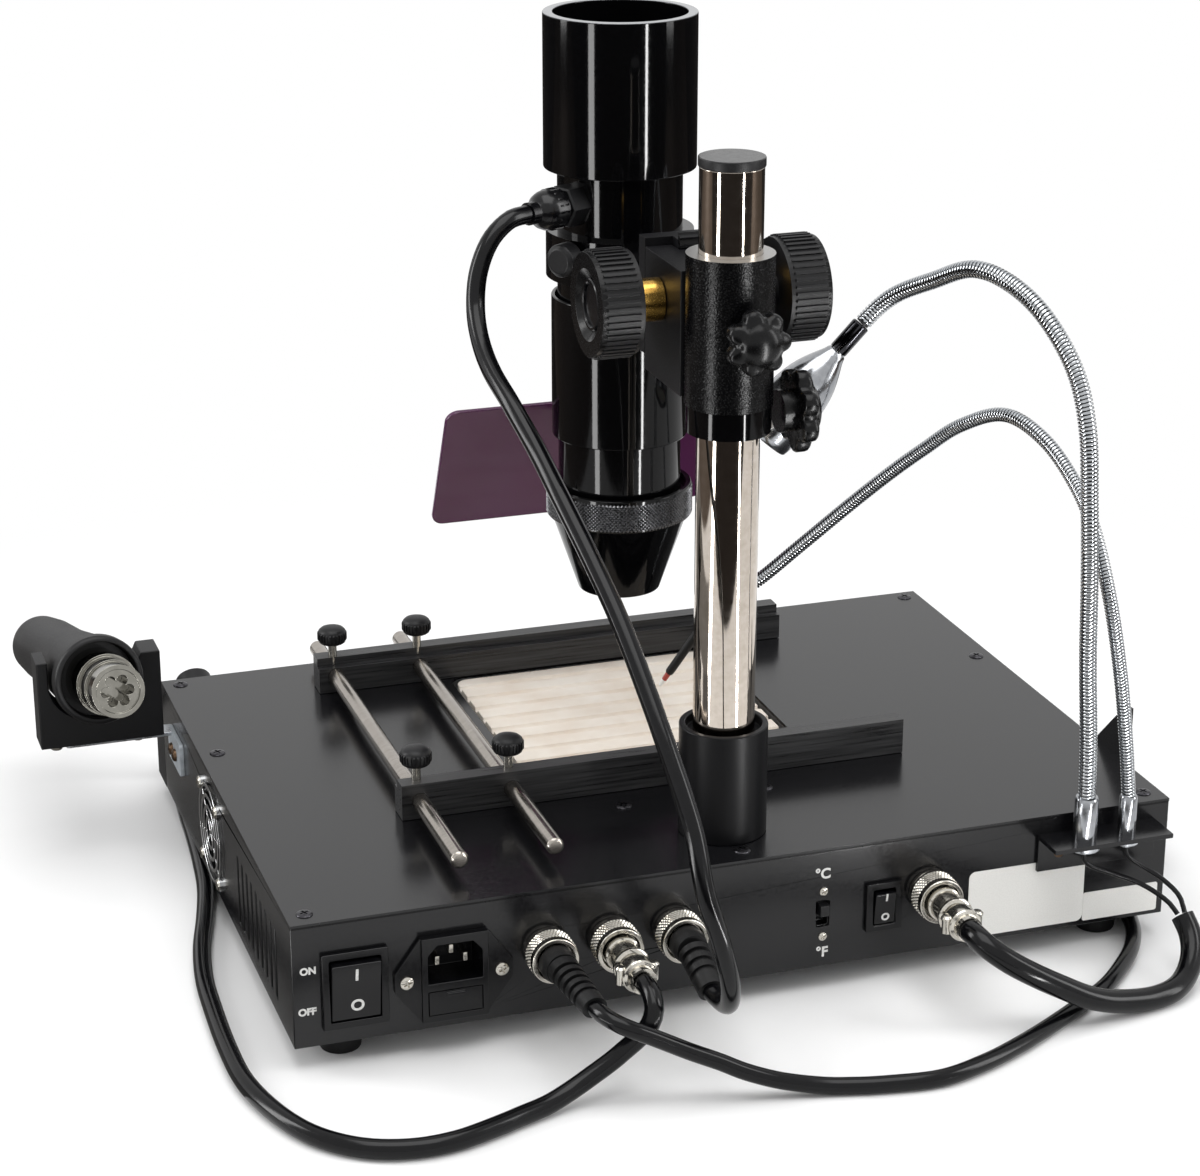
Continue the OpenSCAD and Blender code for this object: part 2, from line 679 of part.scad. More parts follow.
module focus_block() color("#2b2b2e") difference() {
    translate([-block_w / 2, block_front, block_z]) cube([block_w, pillar_y - 8 - block_front, block_h]);
    translate([0, pillar_y, block_z - eps]) cylinder(d = carriage_d + 2 * fit, h = block_h + 2 * eps);
    translate([-rack_w / 2 - gap, block_front - eps, block_z - eps])
        cube([rack_w + 2 * gap, rack_y + gear_module + gap - block_front, block_h + 2 * eps]);
    across_x(shaft_at[0], shaft_at[1]) {
        cylinder(r = pocket_r, h = rack_w + 2 * gap, center = true);
        cylinder(d = bush_d - 6 + 2 * fit, h = 2 * block_w, center = true);
    }
}

module focus_bushes() color("#b58a3c") for (s = [0, 1]) mirror([s, 0, 0]) across_x(shaft_at[0], shaft_at[1])
    difference() {
        union() {
            translate([0, 0, block_w / 2]) cylinder(d = bush_d, h = bush_l);
            translate([0, 0, rack_w / 2 + gap]) cylinder(d = bush_d - 6, h = block_w / 2 - rack_w / 2 - gap);
        }
        cylinder(d = bush_bore, h = block_w);
    }

// Half of one pinion tooth's angle, at a radius, on an involute of 20 degrees.
base_r = pitch_r * cos(20);
function roll(r) = r <= base_r ? 0 : sqrt(r * r / base_r / base_r - 1) * 180 / PI - acos(base_r / r);
function half_tooth(r) = 90 / pinion_teeth - tooth_play / pitch_r / PI * 90 + roll(pitch_r) - roll(r);

module pinion_outline() {
    root = pitch_r - 1.25 * gear_module;
    tip = pitch_r + gear_module;
    radii = [for (k = [0:4]) root + (tip - root) * k / 4];
    circle(root + 0.05);
    for (i = [0:pinion_teeth - 1]) rotate(360 * i / pinion_teeth) polygon(concat(
        [for (r = radii) r * [cos(half_tooth(r)), sin(half_tooth(r))]],
        [for (k = [4:-1:0]) radii[k] * [cos(half_tooth(radii[k])), -sin(half_tooth(radii[k]))]]));
}

module focus_knob() {
    difference() {
        union() {
            cylinder(d = bush_d - 3, h = 3);
            translate([0, 0, 3]) cylinder(d = knob_d - 2, h = knob_w - 3);
            for (i = [0:knob_ribs - 1]) rotate(i * 360 / knob_ribs) translate([knob_d / 2 - 2, 0, 5])
                translate([0, -0.6, 0]) cube([2, 1.2, knob_w - 7]);
        }
        translate([0, 0, knob_w - 3]) cylinder(d1 = knob_d * 0.5, d2 = knob_d * 0.66, h = 3 + eps);
        translate([0, 0, -eps]) cylinder(d = shaft_d + 2 * fit, h = knob_w - 6);
    }
}

// The pinion has a gap between teeth, not a tooth, on the pitch line at rest.
module focus_spindle() {
    reach = block_w / 2 + bush_l + gap;
    color(chrome) across_x(shaft_at[0], shaft_at[1]) {
        cylinder(d = shaft_d, h = 2 * (reach + knob_w - 8), center = true);
        rotate(-90 + 180 / pinion_teeth) translate([0, 0, -rack_w / 2]) linear_extrude(rack_w)
            pinion_outline();
    }
    color(black) for (s = [0, 1]) mirror([s, 0, 0]) across_x(shaft_at[0], shaft_at[1])
        translate([0, 0, reach]) focus_knob();
}

module rack_outline() {
    n = 8;
    flank = gear_module * tan(20);
    thick = tooth_pitch / 4 - tooth_play / 2;
    root = rack_y - 1.25 * gear_module;
    tip = rack_y + gear_module;
    polygon(concat([[slide_y, -slide_h / 2], [slide_y, slide_h / 2], [root, slide_h / 2]],
        [for (i = [n:-1:-n]) each let (c = i * tooth_pitch) [[root, c + thick + 1.25 * flank],
            [tip, c + thick - flank], [tip, c - thick + flank], [root, c - thick - 1.25 * flank]]],
        [[root, -slide_h / 2]]));
}

module focus_slide() color("#2b2b2e") {
    translate([-block_w / 2, slide_y, shaft_at[1] - slide_h / 2]) cube([block_w, slide_t, slide_h]);
    translate([-rack_w / 2, 0, shaft_at[1]]) rotate([90, 0, 90]) linear_extrude(rack_w) rack_outline();
}

// Lamp

module at_lamp(z) {
    translate([lamp_at[0], lamp_at[1], z]) children();
}

module lamp_holder() color(gloss) {
    difference() {
        union() {
            at_lamp(ring_z) cylinder(d = ring_d, h = ring_h);
            translate([-arm_w / 2, lamp_at[1], ring_z + 1]) cube([arm_w, slide_y - lamp_at[1], ring_h - 2]);
        }
        at_lamp(ring_z - eps) cylinder(d = barrel_d + 2 * fit, h = ring_h + 2 * eps);
        at_lamp(ring_screw_z) rotate([0, 90, screw_turn]) cylinder(d = thumb_stem_d + 2 * fit, h = ring_d);
    }
    difference() {
        translate([-hinge_w / 2 - ear_w - gap, visor_axis[0] - 3.2, visor_axis[1] - 5])
            cube([hinge_w + 2 * ear_w + 2 * gap, lamp_front, 8]);
        at_lamp(visor_axis[1] - 10) cylinder(d = barrel_d + 2 * fit, h = 20);
        translate([-hinge_w / 2 - gap, visor_axis[0] - 5, visor_axis[1] - 6])
            cube([hinge_w + 2 * gap, 5 + hinge_d / 2 + 1.5, 12]);
        across_x(visor_axis[0], visor_axis[1])
            cylinder(d = hinge_pin_d + 2 * fit, h = 2 * hinge_w, center = true);
    }
    across_x(visor_axis[0], visor_axis[1])
        cylinder(d = hinge_pin_d, h = hinge_w + 2 * ear_w + 2 * gap, center = true);
}

module ring_screw() color(gloss) at_lamp(ring_screw_z) rotate([0, 90, screw_turn]) {
    translate([0, 0, barrel_d / 2 + gap]) cylinder(d = thumb_stem_d, h = (ring_d - barrel_d) / 2 + 2);
    translate([0, 0, ring_d / 2 + 2]) cylinder(d = thumb_d + 1, h = 7);
    translate([0, 0, ring_d / 2 + 9]) cylinder(d1 = thumb_d + 1, d2 = thumb_d - 3, h = 1.5);
}

module lamp_tubes() color(gloss) {
    at_lamp(knurl_z + 6) ring(barrel_d, barrel_d - 2 * barrel_wall, shell_z + 5 - knurl_z - 6);
    at_lamp(sleeve_z) ring(sleeve_d, sleeve_d - 2 * sleeve_wall, sleeve_h);
    at_lamp(sleeve_z + 2) ring(sleeve_d - 2 * sleeve_wall - 2 * fit, barrel_d + 2 * fit, 5);
    at_lamp(shell_z) difference() {
        cylinder(d = shell_d, h = shell_h);
        translate([0, 0, 3]) cylinder(d = shell_d - 2 * shell_wall, h = shell_h);
        translate([0, 0, -eps]) cylinder(d = barrel_d + 2 * fit, h = shell_h);
    }
}

module knurled_ring() color(black) at_lamp(knurl_z) difference() {
    cylinder(d = barrel_d + 2 * knurl_wall, h = knurl_h);
    translate([0, 0, -eps]) cylinder(d = barrel_d - 2 * barrel_wall, h = knurl_h);
    translate([0, 0, 6]) cylinder(d = barrel_d + 2 * fit, h = knurl_h);
    translate([0, 0, knurl_h - 3]) cylinder(d = barrel_d + knurl_wall, h = knurl_h);
}

module lamp_cone() color(gloss) at_lamp(cone_z) {
    difference() {
        cylinder(d1 = cone_mouth_d, d2 = cone_d, h = cone_h);
        translate([0, 0, -eps])
            cylinder(d1 = cone_mouth_d - 2 * cone_wall, d2 = cone_d - 4 * cone_wall, h = cone_h - 2);
        translate([0, 0, cone_h - 4]) cylinder(d = barrel_d - 2 * barrel_wall - 6, h = 8);
    }
    translate([0, 0, cone_h]) ring(barrel_d - 2 * barrel_wall - 2 * fit, barrel_d - 2 * barrel_wall - 6, 10);
}

module lamp_emitter() color("#7a2f28") at_lamp(knurl_z + 14) {
    cylinder(d1 = 26, d2 = 42, h = 30);
    translate([0, 0, 30]) cylinder(d = barrel_d - 2 * barrel_wall - 2 * fit, h = 6);
}

module lamp_gland() color(black) difference() {
    at_lamp(gland_z) rotate([0, 90, gland_turn]) {
        cylinder(d = 19, h = barrel_d / 2 + 13, $fn = 6);
        translate([0, 0, barrel_d / 2 + 13]) cylinder(d = 16, h = 6);
        translate([0, 0, barrel_d / 2 + 19]) cylinder(d1 = 16, d2 = 10, h = gland_l - 19);
    }
    at_lamp(gland_z - 20) cylinder(d = barrel_d + 2 * fit, h = 40);
}

module visor() {
    color("#4a2f4d") translate([0, visor_axis[0], visor_axis[1]]) rotate([-visor_tilt, 0, 0])
        translate([0, -hinge_d / 2 - visor_t - 1 - fit, 5 - visor_l / 2]) rotate([90, 0, 0])
            linear_extrude(visor_t, center = true) rounded(visor_w, visor_l, 6);
    color(black) translate([0, visor_axis[0], visor_axis[1]]) rotate([-visor_tilt, 0, 0]) difference() {
        union() {
            across_x(0, 0) cylinder(d = hinge_d, h = hinge_w, center = true);
            translate([-hinge_w / 2, -hinge_d / 2 - visor_t / 2 - 1, -10]) cube([hinge_w, 2, 14]);
            translate([-hinge_w / 2, -hinge_d / 2 - 1, -2]) cube([hinge_w, hinge_d / 2 + 1, 4]);
        }
        across_x(0, 0) cylinder(d = hinge_pin_d + 2 * fit, h = 2 * hinge_w, center = true);
    }
}

// Board holder

rod_z = z_top + gap + rail_h / 2;
rod_x = [rail_end_x - rod_inset, rail_end_x - rod_inset - rod_pitch];
rod_y = -135;
rail_y = [-front_rail_y, rear_rail_y];

module rods() color(chrome) for (x = rod_x) translate([x, rod_y, rod_z]) rotate([-90, 0, 0]) {
    cylinder(d1 = rod_d - 2, d2 = rod_d, h = 1);
    translate([0, 0, 1]) cylinder(d = rod_d, h = rod_l - 2);
    translate([0, 0, rod_l - 1]) cylinder(d1 = rod_d, d2 = rod_d - 2, h = 1);
}

module rail(y, inner) color(black) difference() {
    translate([rail_end_x - rail_l, y - rail_w / 2, z_top + gap]) cube([rail_l, rail_w, rail_h]);
    translate([rail_end_x - rail_l / 2, y + inner * rail_w / 2, z_top + gap + rail_h])
        cube([rail_l + 1, 2 * ledge, 2 * ledge], center = true);
    for (x = rod_x) {
        translate([x, y - rail_w, rod_z]) rotate([-90, 0, 0]) cylinder(d = rod_d + 2 * fit, h = 2 * rail_w);
        translate([x, y, rod_z]) cylinder(d = thumb_stem_d + 2 * fit, h = rail_h);
    }
}

module front_rail() rail(rail_y[0], 1);
module rear_rail() rail(rail_y[1], -1);

module thumb_screw(x, y) translate([x, y, rod_z + rod_d / 2 + gap]) {
    stem = rail_h / 2 - rod_d / 2 - gap + thumb_lift;
    color(chrome) cylinder(d = thumb_stem_d, h = stem);
    color(black) translate([0, 0, stem]) {
        cylinder(d = thumb_d, h = thumb_h - 2);
        translate([0, 0, thumb_h - 2]) cylinder(d1 = thumb_d, d2 = thumb_d - 4, h = 2);
    }
}

module thumb_screw_1() thumb_screw(rod_x[0], rail_y[0]);
module thumb_screw_2() thumb_screw(rod_x[1], rail_y[0]);
module thumb_screw_3() thumb_screw(rod_x[0], rail_y[1]);
module thumb_screw_4() thumb_screw(rod_x[1], rail_y[1]);

// Rear panel

module switch_housing(at, w, h) {
    translate([at[0], half_d, at[1]]) difference() {
        union() {
            translate([-w / 2, 0, -h / 2]) cube([w, rim_h, h]);
            translate([2 - w / 2, -16, 2 - h / 2]) cube([w - 4, 16, h - 4]);
        }
        translate([rim_w - w / 2, -12, rim_w - h / 2]) cube([w - 2 * rim_w, 12 + 2 * rim_h, h - 2 * rim_w]);
    }
}

module switch_housings() color(black) {
    switch_housing(power_at, power_w, power_h);
    switch_housing(lights_at, lights_w, lights_h);
    translate([unit_at[0], half_d - wall, unit_at[1]]) difference() {
        translate([-7, -8, -13]) cube([14, 8, 26]);
        translate([-unit_slot[0] / 2 - gap, -4, -unit_slot[1] / 2 - gap])
            cube([unit_slot[0] + 2 * gap, 8, unit_slot[1] + 2 * gap]);
    }
}

// The rocker turns on an axis at the panel. At rest its lower end is pressed in.
module rocker(at, w, h) {
    body_w = w - 2 * rim_w - 2 * gap;
    body_h = h - 2 * rim_w - 1.6;
    translate([at[0], half_d, at[1]]) rotate([-rock, 0, 0]) difference() {
        translate([-body_w / 2, -5, -body_h / 2]) cube([body_w, 8.5, body_h]);
        across_x(3.2 + 4 * h, 0) cylinder(r = 4 * h, h = 2 * w, center = true, $fn = 128);
    }
}

module power_rocker() color(black) rocker(power_at, power_w, power_h);
module lights_rocker() color(black) rocker(lights_at, lights_w, lights_h);

// The unit slider is at the upper end of its slot at rest.
module unit_slider() color(black) translate([unit_at[0], half_d - wall, unit_at[1] + unit_travel]) {
    translate([-unit_slot[0] / 2, -3.5, -unit_slot[1] / 2 + unit_travel])
        cube([unit_slot[0], 3.5, unit_slot[1] - 2 * unit_travel]);
    translate([-unit_slot[0] / 2, 0, -2.5]) cube([unit_slot[0], wall + 2.5, 5]);
}

inlet_body_y = -24;
drawer_h = 11;
drawer_z = inlet_at[1] - inlet_h / 2 + 3;
recess_h = 17;
recess_z = inlet_at[1] + inlet_h / 2 - 3.5 - recess_h;

module mains_inlet() {
    color(black) difference() {
        union() {
            to_rear(inlet_at, half_d) linear_extrude(2) polygon([for (s = [1, -1]) each [
                [s * inlet_w / 2, -s * inlet_h / 2], [s * (inlet_pitch / 2 + 5), -s * 4],
                [s * (inlet_pitch / 2 + 5), s * 4], [s * inlet_w / 2, s * inlet_h / 2]]]);
            translate([inlet_at[0] - inlet_w / 2, half_d, inlet_at[1] - inlet_h / 2])
                cube([inlet_w, inlet_proud, inlet_h]);
            translate([inlet_at[0], half_d + inlet_body_y / 2, inlet_at[1]])
                cube([inlet_w - 3, -inlet_body_y, inlet_h - 3], center = true);
        }
        translate([inlet_at[0], half_d + inlet_proud - 16, recess_z + recess_h / 2]) rotate([-90, 0, 0])
            linear_extrude(17)
                polygon([[-11.5, -4], [-7.5, -8.5], [7.5, -8.5], [11.5, -4], [11.5, 8.5], [-11.5, 8.5]]);
        translate([inlet_at[0] - 11.5, half_d + inlet_body_y + 2, drawer_z])
            cube([23, inlet_proud - inlet_body_y, drawer_h]);
    }
    color(chrome) for (p = [[-6, -1.5], [0, 3], [6, -1.5]])
        translate([inlet_at[0] + p[0], half_d + inlet_proud - 11.2 + fit, recess_z + recess_h / 2 + p[1]])
            cube([2, 9.6, 4], center = true);
}

module fuse_drawer() color(black) translate([inlet_at[0], half_d + inlet_proud, drawer_z + gap]) {
    translate([-11.5 + gap, -20, 0]) cube([23 - 2 * gap, 20, drawer_h - 2 * gap]);
    translate([-4, 0, drawer_h - 3]) cube([8, 1, 1.6]);
}

module connectors() color(chrome) for (x = plug_x) {
    to_rear([x, plug_z], half_d - 10) ring(16, 12, 22);
    to_rear([x, plug_z], half_d) ring(18.5, 16 + 2 * fit, 2.4);
    to_rear([x, plug_z], half_d + 3) ring(plug_ring_d, 16 + 2 * fit, plug_ring_l);
}

plug_start = half_d + plug_ring_l + 3.2;
boot_drop = 7.5;

// A rubber boot that droops a little, with grooves near its thin end.
module cord_boot(x, length, cord_d) {
    droop = atan2(boot_drop, length - 8);
    to_rear([x, plug_z], plug_start) {
        cylinder(d = 15, h = 4);
        translate([0, 0, 4]) cylinder(d1 = 15, d2 = 13.5, h = 4);
    }
    translate([x, plug_start + 7.6, plug_z]) rotate([-90 - droop, 0, 0]) difference() {
        cylinder(d1 = 13, d2 = cord_d + 3, h = (length - 8) / cos(droop));
        for (i = [0:4]) translate([0, 0, length - 36 + 5 * i]) difference() {
            cylinder(d = 20, h = 2.2);
            translate([0, 0, -eps]) cylinder(d = cord_d + 1.6, h = 3);
        }
    }
}

// A metal back shell with a two-screw cord clamp.
module cord_clamp(x, length, cord_d) {
    to_rear([x, plug_z], plug_start) {
        cylinder(d = 15, h = 5);
        translate([0, 0, 5]) cylinder(d1 = 14.5, d2 = 11.5, h = length - 19);
        translate([0, 0, length - 14]) cylinder(d = max(cord_d + 3.5, 12), h = 14);
        for (s = [-1, 1]) translate([s * 7, 0, length - 7]) rotate([90, 0, 0])
            cylinder(d = 5, h = 10, center = true);
    }
}

module cord_plugs() {
    color(black) cord_boot(plug_x[0], solder_route[0][1] - plug_start, solder_cord_d);
    color(black) cord_boot(plug_x[2], lamp_route[len(lamp_route) - 1][1] - plug_start, lamp_cord_d);
    color(chrome) cord_clamp(plug_x[1], hot_air_route[0][1] - plug_start - clamp_gap, hot_air_cord_d);
    color(chrome) cord_clamp(plug_x[3], lights_route[0][1] - plug_start - clamp_gap, lights_cord_d);
}

// Cooling

module at_fan(x) {
    translate([half_w + x, fan_at[0], fan_at[1]]) rotate([0, 90, 0]) children();
}

module fan_frame() color("#1c1c1e") at_fan(-wall - fan_t)
    difference() {
        linear_extrude(fan_t) difference() {
            rounded(fan_w, fan_w, 4);
            for (x = [-1, 1], y = [-1, 1]) translate([x, y] * fan_pitch / 2) circle(d = screw_hole_d);
        }
        translate([0, 0, 2]) cylinder(d = fan_w - 3, h = fan_t);
        translate([0, 0, -1]) linear_extrude(4) difference() {
            circle(d = fan_w - 5);
            circle(d = 22);
            for (a = [0, 90]) rotate(a) square([fan_w, 4], center = true);
        }
        translate([0, 0, 1]) cylinder(d = 3 + 2 * fit, h = fan_t);
    }

module fan_rotor() color("#232327") at_fan(2 + gap - wall - fan_t) {
    cylinder(d = 18, h = fan_t - 4);
    translate([0, 0, -1 - gap]) cylinder(d = 3, h = 2);
    for (i = [0:6]) rotate(i * 360 / 7) translate([8.5, 0, 1]) rotate([40, 0, 0])
        translate([0, -0.6, 0]) cube([fan_w / 2 - 12.5, 1.2, 11]);
}

module fan_guard() color(chrome) at_fan(2 * guard_wire) {
    for (d = [14, 24, 34, 44]) rotate_extrude() translate([d / 2, 0]) circle(d = guard_wire, $fn = 16);
    for (a = [45, 135]) rotate(a) translate([0, 0, -0.75 * guard_wire]) rotate([0, 90, 0])
        cylinder(d = guard_wire, h = fan_pitch * sqrt(2) - 2, center = true, $fn = 16);
    for (x = [-1, 1], y = [-1, 1]) translate([x * fan_pitch / 2, y * fan_pitch / 2, -2 * guard_wire])
        cylinder(d = 6.5, h = 2.5 * guard_wire);
}

// Handsets

module gun_frame() {
    translate(gun_at) rotate([0, 0, gun_yaw]) rotate([gun_pitch - 90, 0, 0]) children();
}

module gun_holder() {
    back = (holder_y - gun_at[1]) / cos(gun_yaw);
    slot_x = gun_at[0] - back * sin(gun_yaw) - holder_x;
    low_z = gun_at[2] + (back - holder_block / 2) * tan(gun_pitch) - gun_d / 2 / cos(gun_pitch);
    slot_z = low_z - gap - holder_base + gun_slot_r;
    color(black) translate([holder_x, holder_front, holder_base]) rotate([90, 0, 0])
        linear_extrude(holder_block) difference() {
            square([holder_w, holder_h]);
            translate([slot_x, slot_z]) circle(gun_slot_r);
            translate([slot_x - gun_slot_r, slot_z]) square([2 * gun_slot_r, holder_h]);
        }
    color(chrome) {
        translate([half_w, holder_y - 5, holder_base - holder_t - fit]) cube([holder_w - 6, 10, holder_t]);
        translate([half_w, holder_y - 5, holder_base - holder_t - fit]) cube([8, 28, holder_t]);
        translate([half_w, holder_y - 5, holder_base - 16]) cube([holder_t, 28, 16 - holder_t]);
    }
}

// The rim stands round a hollow, and the nozzle stands on the floor of that hollow.
rim_hollow = 8;

module gun_handle() color("#1a1a1c") gun_frame() rotate_extrude() polygon([
    [0, -gun_l], [6, -gun_l], [7, 12 - gun_l], [10, 13 - gun_l], [14.5, 16 - gun_l],
    [gun_d / 2 - 0.7, 22 - gun_l], [gun_d / 2, 30 - gun_l], [gun_d / 2 - 1, -40],
    [gun_d / 2, -26], [gun_d / 2, 0],
    [gun_rim_d / 2 - 1.5, 0], [gun_rim_d / 2, 1.5], [gun_rim_d / 2, 8.5], [gun_rim_d / 2 - 1.5, 10],
    [gun_rim_d / 2 - 3, 10], [gun_rim_d / 2 - 3, 10 - rim_hollow], [0, 10 - rim_hollow]]);

module gun_nozzle() color(chrome) gun_frame() translate([0, 0, 10 - rim_hollow]) difference() {
    union() {
        cylinder(d = nozzle_d + 4.5, h = rim_hollow + nozzle_l * 0.4);
        cylinder(d = nozzle_d + 2, h = rim_hollow + nozzle_l * 0.7);
        cylinder(d = nozzle_d, h = rim_hollow + nozzle_l);
    }
    translate([0, 0, rim_hollow + nozzle_l - 1.5]) cylinder(d = nozzle_d - 5, h = 2);
    translate([0, 0, rim_hollow + nozzle_l - 12]) linear_extrude(11.5) {
        circle(d = 10);
        for (i = [0:5]) rotate(i * 60) translate([6, 0]) circle(d = 5.2);
    }
}

iron_plate = [[40, z_top - 46], [96, z_top - 46], [96, z_top + 26], [92, z_top + 26], [66, z_top],
    [40, z_top - 20]];

module iron_holder() color(black) {
    translate([-half_w - holder_t, 0, 0]) rotate([90, 0, 90]) linear_extrude(holder_t) polygon(iron_plate);
    difference() {
        union() {
            translate(iron_at + [0, gap, 0]) rotate([-90, 0, 0]) cylinder(d = iron_d + 4, h = iron_tube_l);
            translate(iron_at + [0, 12, -5]) cube([-half_w - holder_t - iron_at[0], 32, 10]);
        }
        translate(iron_at) rotate([-90, 0, 0]) cylinder(d = iron_d + 2 * gap, h = 2 * iron_tube_l);
    }
}

module soldering_iron() translate(iron_at) rotate([-90, 0, 0]) {
    r = iron_d / 2;
    color("#1d1d20") rotate_extrude() polygon([[0, -iron_l - 18], [5, -iron_l - 18], [6.5, -iron_l],
        [r - 1.5, 4 - iron_l], [r - 0.5, 20 - iron_l], [r - 2, -40], [r, -10], [r + 3, -4], [r + 3, 0],
        [r, 0], [r, 14], [7, 18], [7, 24], [0, 24]]);
    color(chrome) translate([0, 0, 24 + fit]) rotate_extrude()
        polygon([[0, 0], [4.5, 0], [4.5, 46], [3, 48], [3, 56], [0.4, 68], [0, 68]]);
}

// Goosenecks

module neck_hole(x, d) {
    translate([x, neck_y, shelf_z - 5 * shelf_t]) cylinder(d = d, h = 10 * shelf_t);
}

module gooseneck_bracket() color(black) difference() {
    union() {
        translate([shelf_x[0], half_d, shelf_z - shelf_t]) cube([shelf_x[1] - shelf_x[0], shelf_d, shelf_t]);
        translate([shelf_x[0], half_d, shelf_z - 17]) cube([shelf_x[1] - shelf_x[0], shelf_t, 17]);
    }
    neck_hole(light_neck_x, 7);
    neck_hole(probe_neck_x, 5.5);
}

// A flexible metal neck with its crimped foot, threaded spigot and nut.
module gooseneck(route, d, foot_d) {
    x = route[0][0];
    foot_l = route[0][2] - shelf_z;
    tube_along(smooth(route, 2), d, 12);
    translate([x, neck_y, shelf_z]) cylinder(d = foot_d, h = foot_l);
    translate([x, neck_y, shelf_z - 7]) cylinder(d = d - 2, h = 7);
    translate([x, neck_y, shelf_z - shelf_t - 3.2]) ring(foot_d + 3, d - 2 + 2 * fit, 3.2);
}

module light_gooseneck() color(chrome) gooseneck(light_neck_route, light_neck_d, 10.4);
module probe_gooseneck() color(chrome) gooseneck(probe_neck_route, probe_neck_d, 7.8);

module light_head() {
    neck_end = light_neck_route[len(light_neck_route) - 1];
    start = neck_end + 0.5 * unit(light_mouth - neck_end);
    axis = light_mouth - start;
    l = norm(axis);
    color(chrome) translate(start) along(axis) difference() {
        rotate_extrude() polygon([[0, 0], [4.1, 0], [4.1, 16], [5, 17], [7.6, 22], [10.4, 29], [12.4, 36],
            [13.2, 44], [13.2, l - 6], [12.7, l], [0, l]]);
        translate([0, 0, l - 4]) cylinder(d = 22, h = 5);
    }
    color("#f4f2e6") translate(start) along(axis) translate([0, 0, l - 4 + fit]) cylinder(d = 21.8, h = 2);
}

module probe_sleeve() {
    neck_end = probe_neck_route[len(probe_neck_route) - 1];
    start = neck_end + 0.5 * unit(probe_tip - neck_end);
    axis = probe_tip - start;
    color(black) translate(start) along(axis) cylinder(d = 4, h = norm(axis) - 8);
    color("#b8483f") translate(start) along(axis) translate([0, 0, norm(axis) - 8 + fit])
        cylinder(d1 = 2.6, d2 = 1.4, h = 8);
}

// Cords

module lamp_cord() color(black) tube_along(lamp_route, lamp_cord_d, 10);
module solder_cord() color(black) tube_along(solder_route, solder_cord_d, 10);
module hot_air_cord() color(black) tube_along(hot_air_route, hot_air_cord_d, 10);
module lights_cord() color(black) {
    tube_along(lights_route, lights_cord_d, 10);
    tube_along(light_wire_route, wire_d, 8);
    tube_along(probe_wire_route, wire_d, 8);
}

base_tray();
top_cover();
front_panel();
feet();
case_screws();
heater_pan();
ceramic_heater();
control_board();
pillar();
pillar_cap();
pillar_socket();
fan_frame();
fan_guard();
fan_rotor();
mains_inlet();
fuse_drawer();
switch_housings();
power_rocker();
lights_rocker();
unit_slider();
connectors();
cord_plugs();
gooseneck_bracket();
light_gooseneck();
light_head();
probe_gooseneck();
probe_sleeve();
gun_holder();
gun_handle();
gun_nozzle();
iron_holder();
soldering_iron();
lamp_cord();
solder_cord();
hot_air_cord();
lights_cord();
rods();
front_rail();
rear_rail();
thumb_screw_1();
thumb_screw_2();
thumb_screw_3();
thumb_screw_4();
stop_collar();
collar_knob();
carriage();
carriage_knob();
focus_block();
focus_bushes();
focus_spindle();
focus_slide();
lamp_holder();
ring_screw();
lamp_tubes();
knurled_ring();
lamp_cone();
lamp_emitter();
lamp_gland();
visor();
air_knob();
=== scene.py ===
"""Looks of the infrared rework station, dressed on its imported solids. Lengths here are millimetres unless said."""

import json
from math import ceil, cos, pi, radians, sin

import bmesh
import bpy
from mathutils import Matrix, Vector
from mathutils.bvhtree import BVHTree


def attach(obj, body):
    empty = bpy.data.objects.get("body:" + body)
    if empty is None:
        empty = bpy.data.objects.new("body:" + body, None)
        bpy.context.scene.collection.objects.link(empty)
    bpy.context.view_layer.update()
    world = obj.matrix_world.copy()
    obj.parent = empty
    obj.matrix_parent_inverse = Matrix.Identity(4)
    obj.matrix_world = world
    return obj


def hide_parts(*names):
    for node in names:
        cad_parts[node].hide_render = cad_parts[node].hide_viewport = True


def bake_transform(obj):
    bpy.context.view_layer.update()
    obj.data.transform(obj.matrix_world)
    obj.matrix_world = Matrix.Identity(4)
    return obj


MM = 0.001
# Places on the case: its rear wall, +X wall and cover, the lamp's axis, the goosenecks' feet and the plugs.
REAR, WALL, COVER, LAMP_Y, NECK_Y, PLUG_Z = 136, 195, 66, -33, 145, 40
SOLDER_X, HOT_AIR_X, LAMP_X, LIGHTS_X = 89, 61, 33, -82
# The rails slide a small gap above the cover.
GAP = 0.3
RAIL_Z = COVER + GAP
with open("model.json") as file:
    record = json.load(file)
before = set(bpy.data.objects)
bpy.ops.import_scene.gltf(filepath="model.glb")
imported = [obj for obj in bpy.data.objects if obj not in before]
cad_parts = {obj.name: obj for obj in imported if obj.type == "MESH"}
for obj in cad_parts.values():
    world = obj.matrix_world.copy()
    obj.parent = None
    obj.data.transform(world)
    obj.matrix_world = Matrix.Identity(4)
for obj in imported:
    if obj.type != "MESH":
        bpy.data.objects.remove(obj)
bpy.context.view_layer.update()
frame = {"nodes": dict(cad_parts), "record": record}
scene = bpy.context.scene


# Materials


def linear(code):
    """A colour written as sRGB hex, as linear red, green, blue and alpha."""
    parts = [int(code[i : i + 2], 16) / 255 for i in (1, 3, 5)]
    return [c / 12.92 if c <= 0.04045 else ((c + 0.055) / 1.055) ** 2.4 for c in parts] + [1.0]


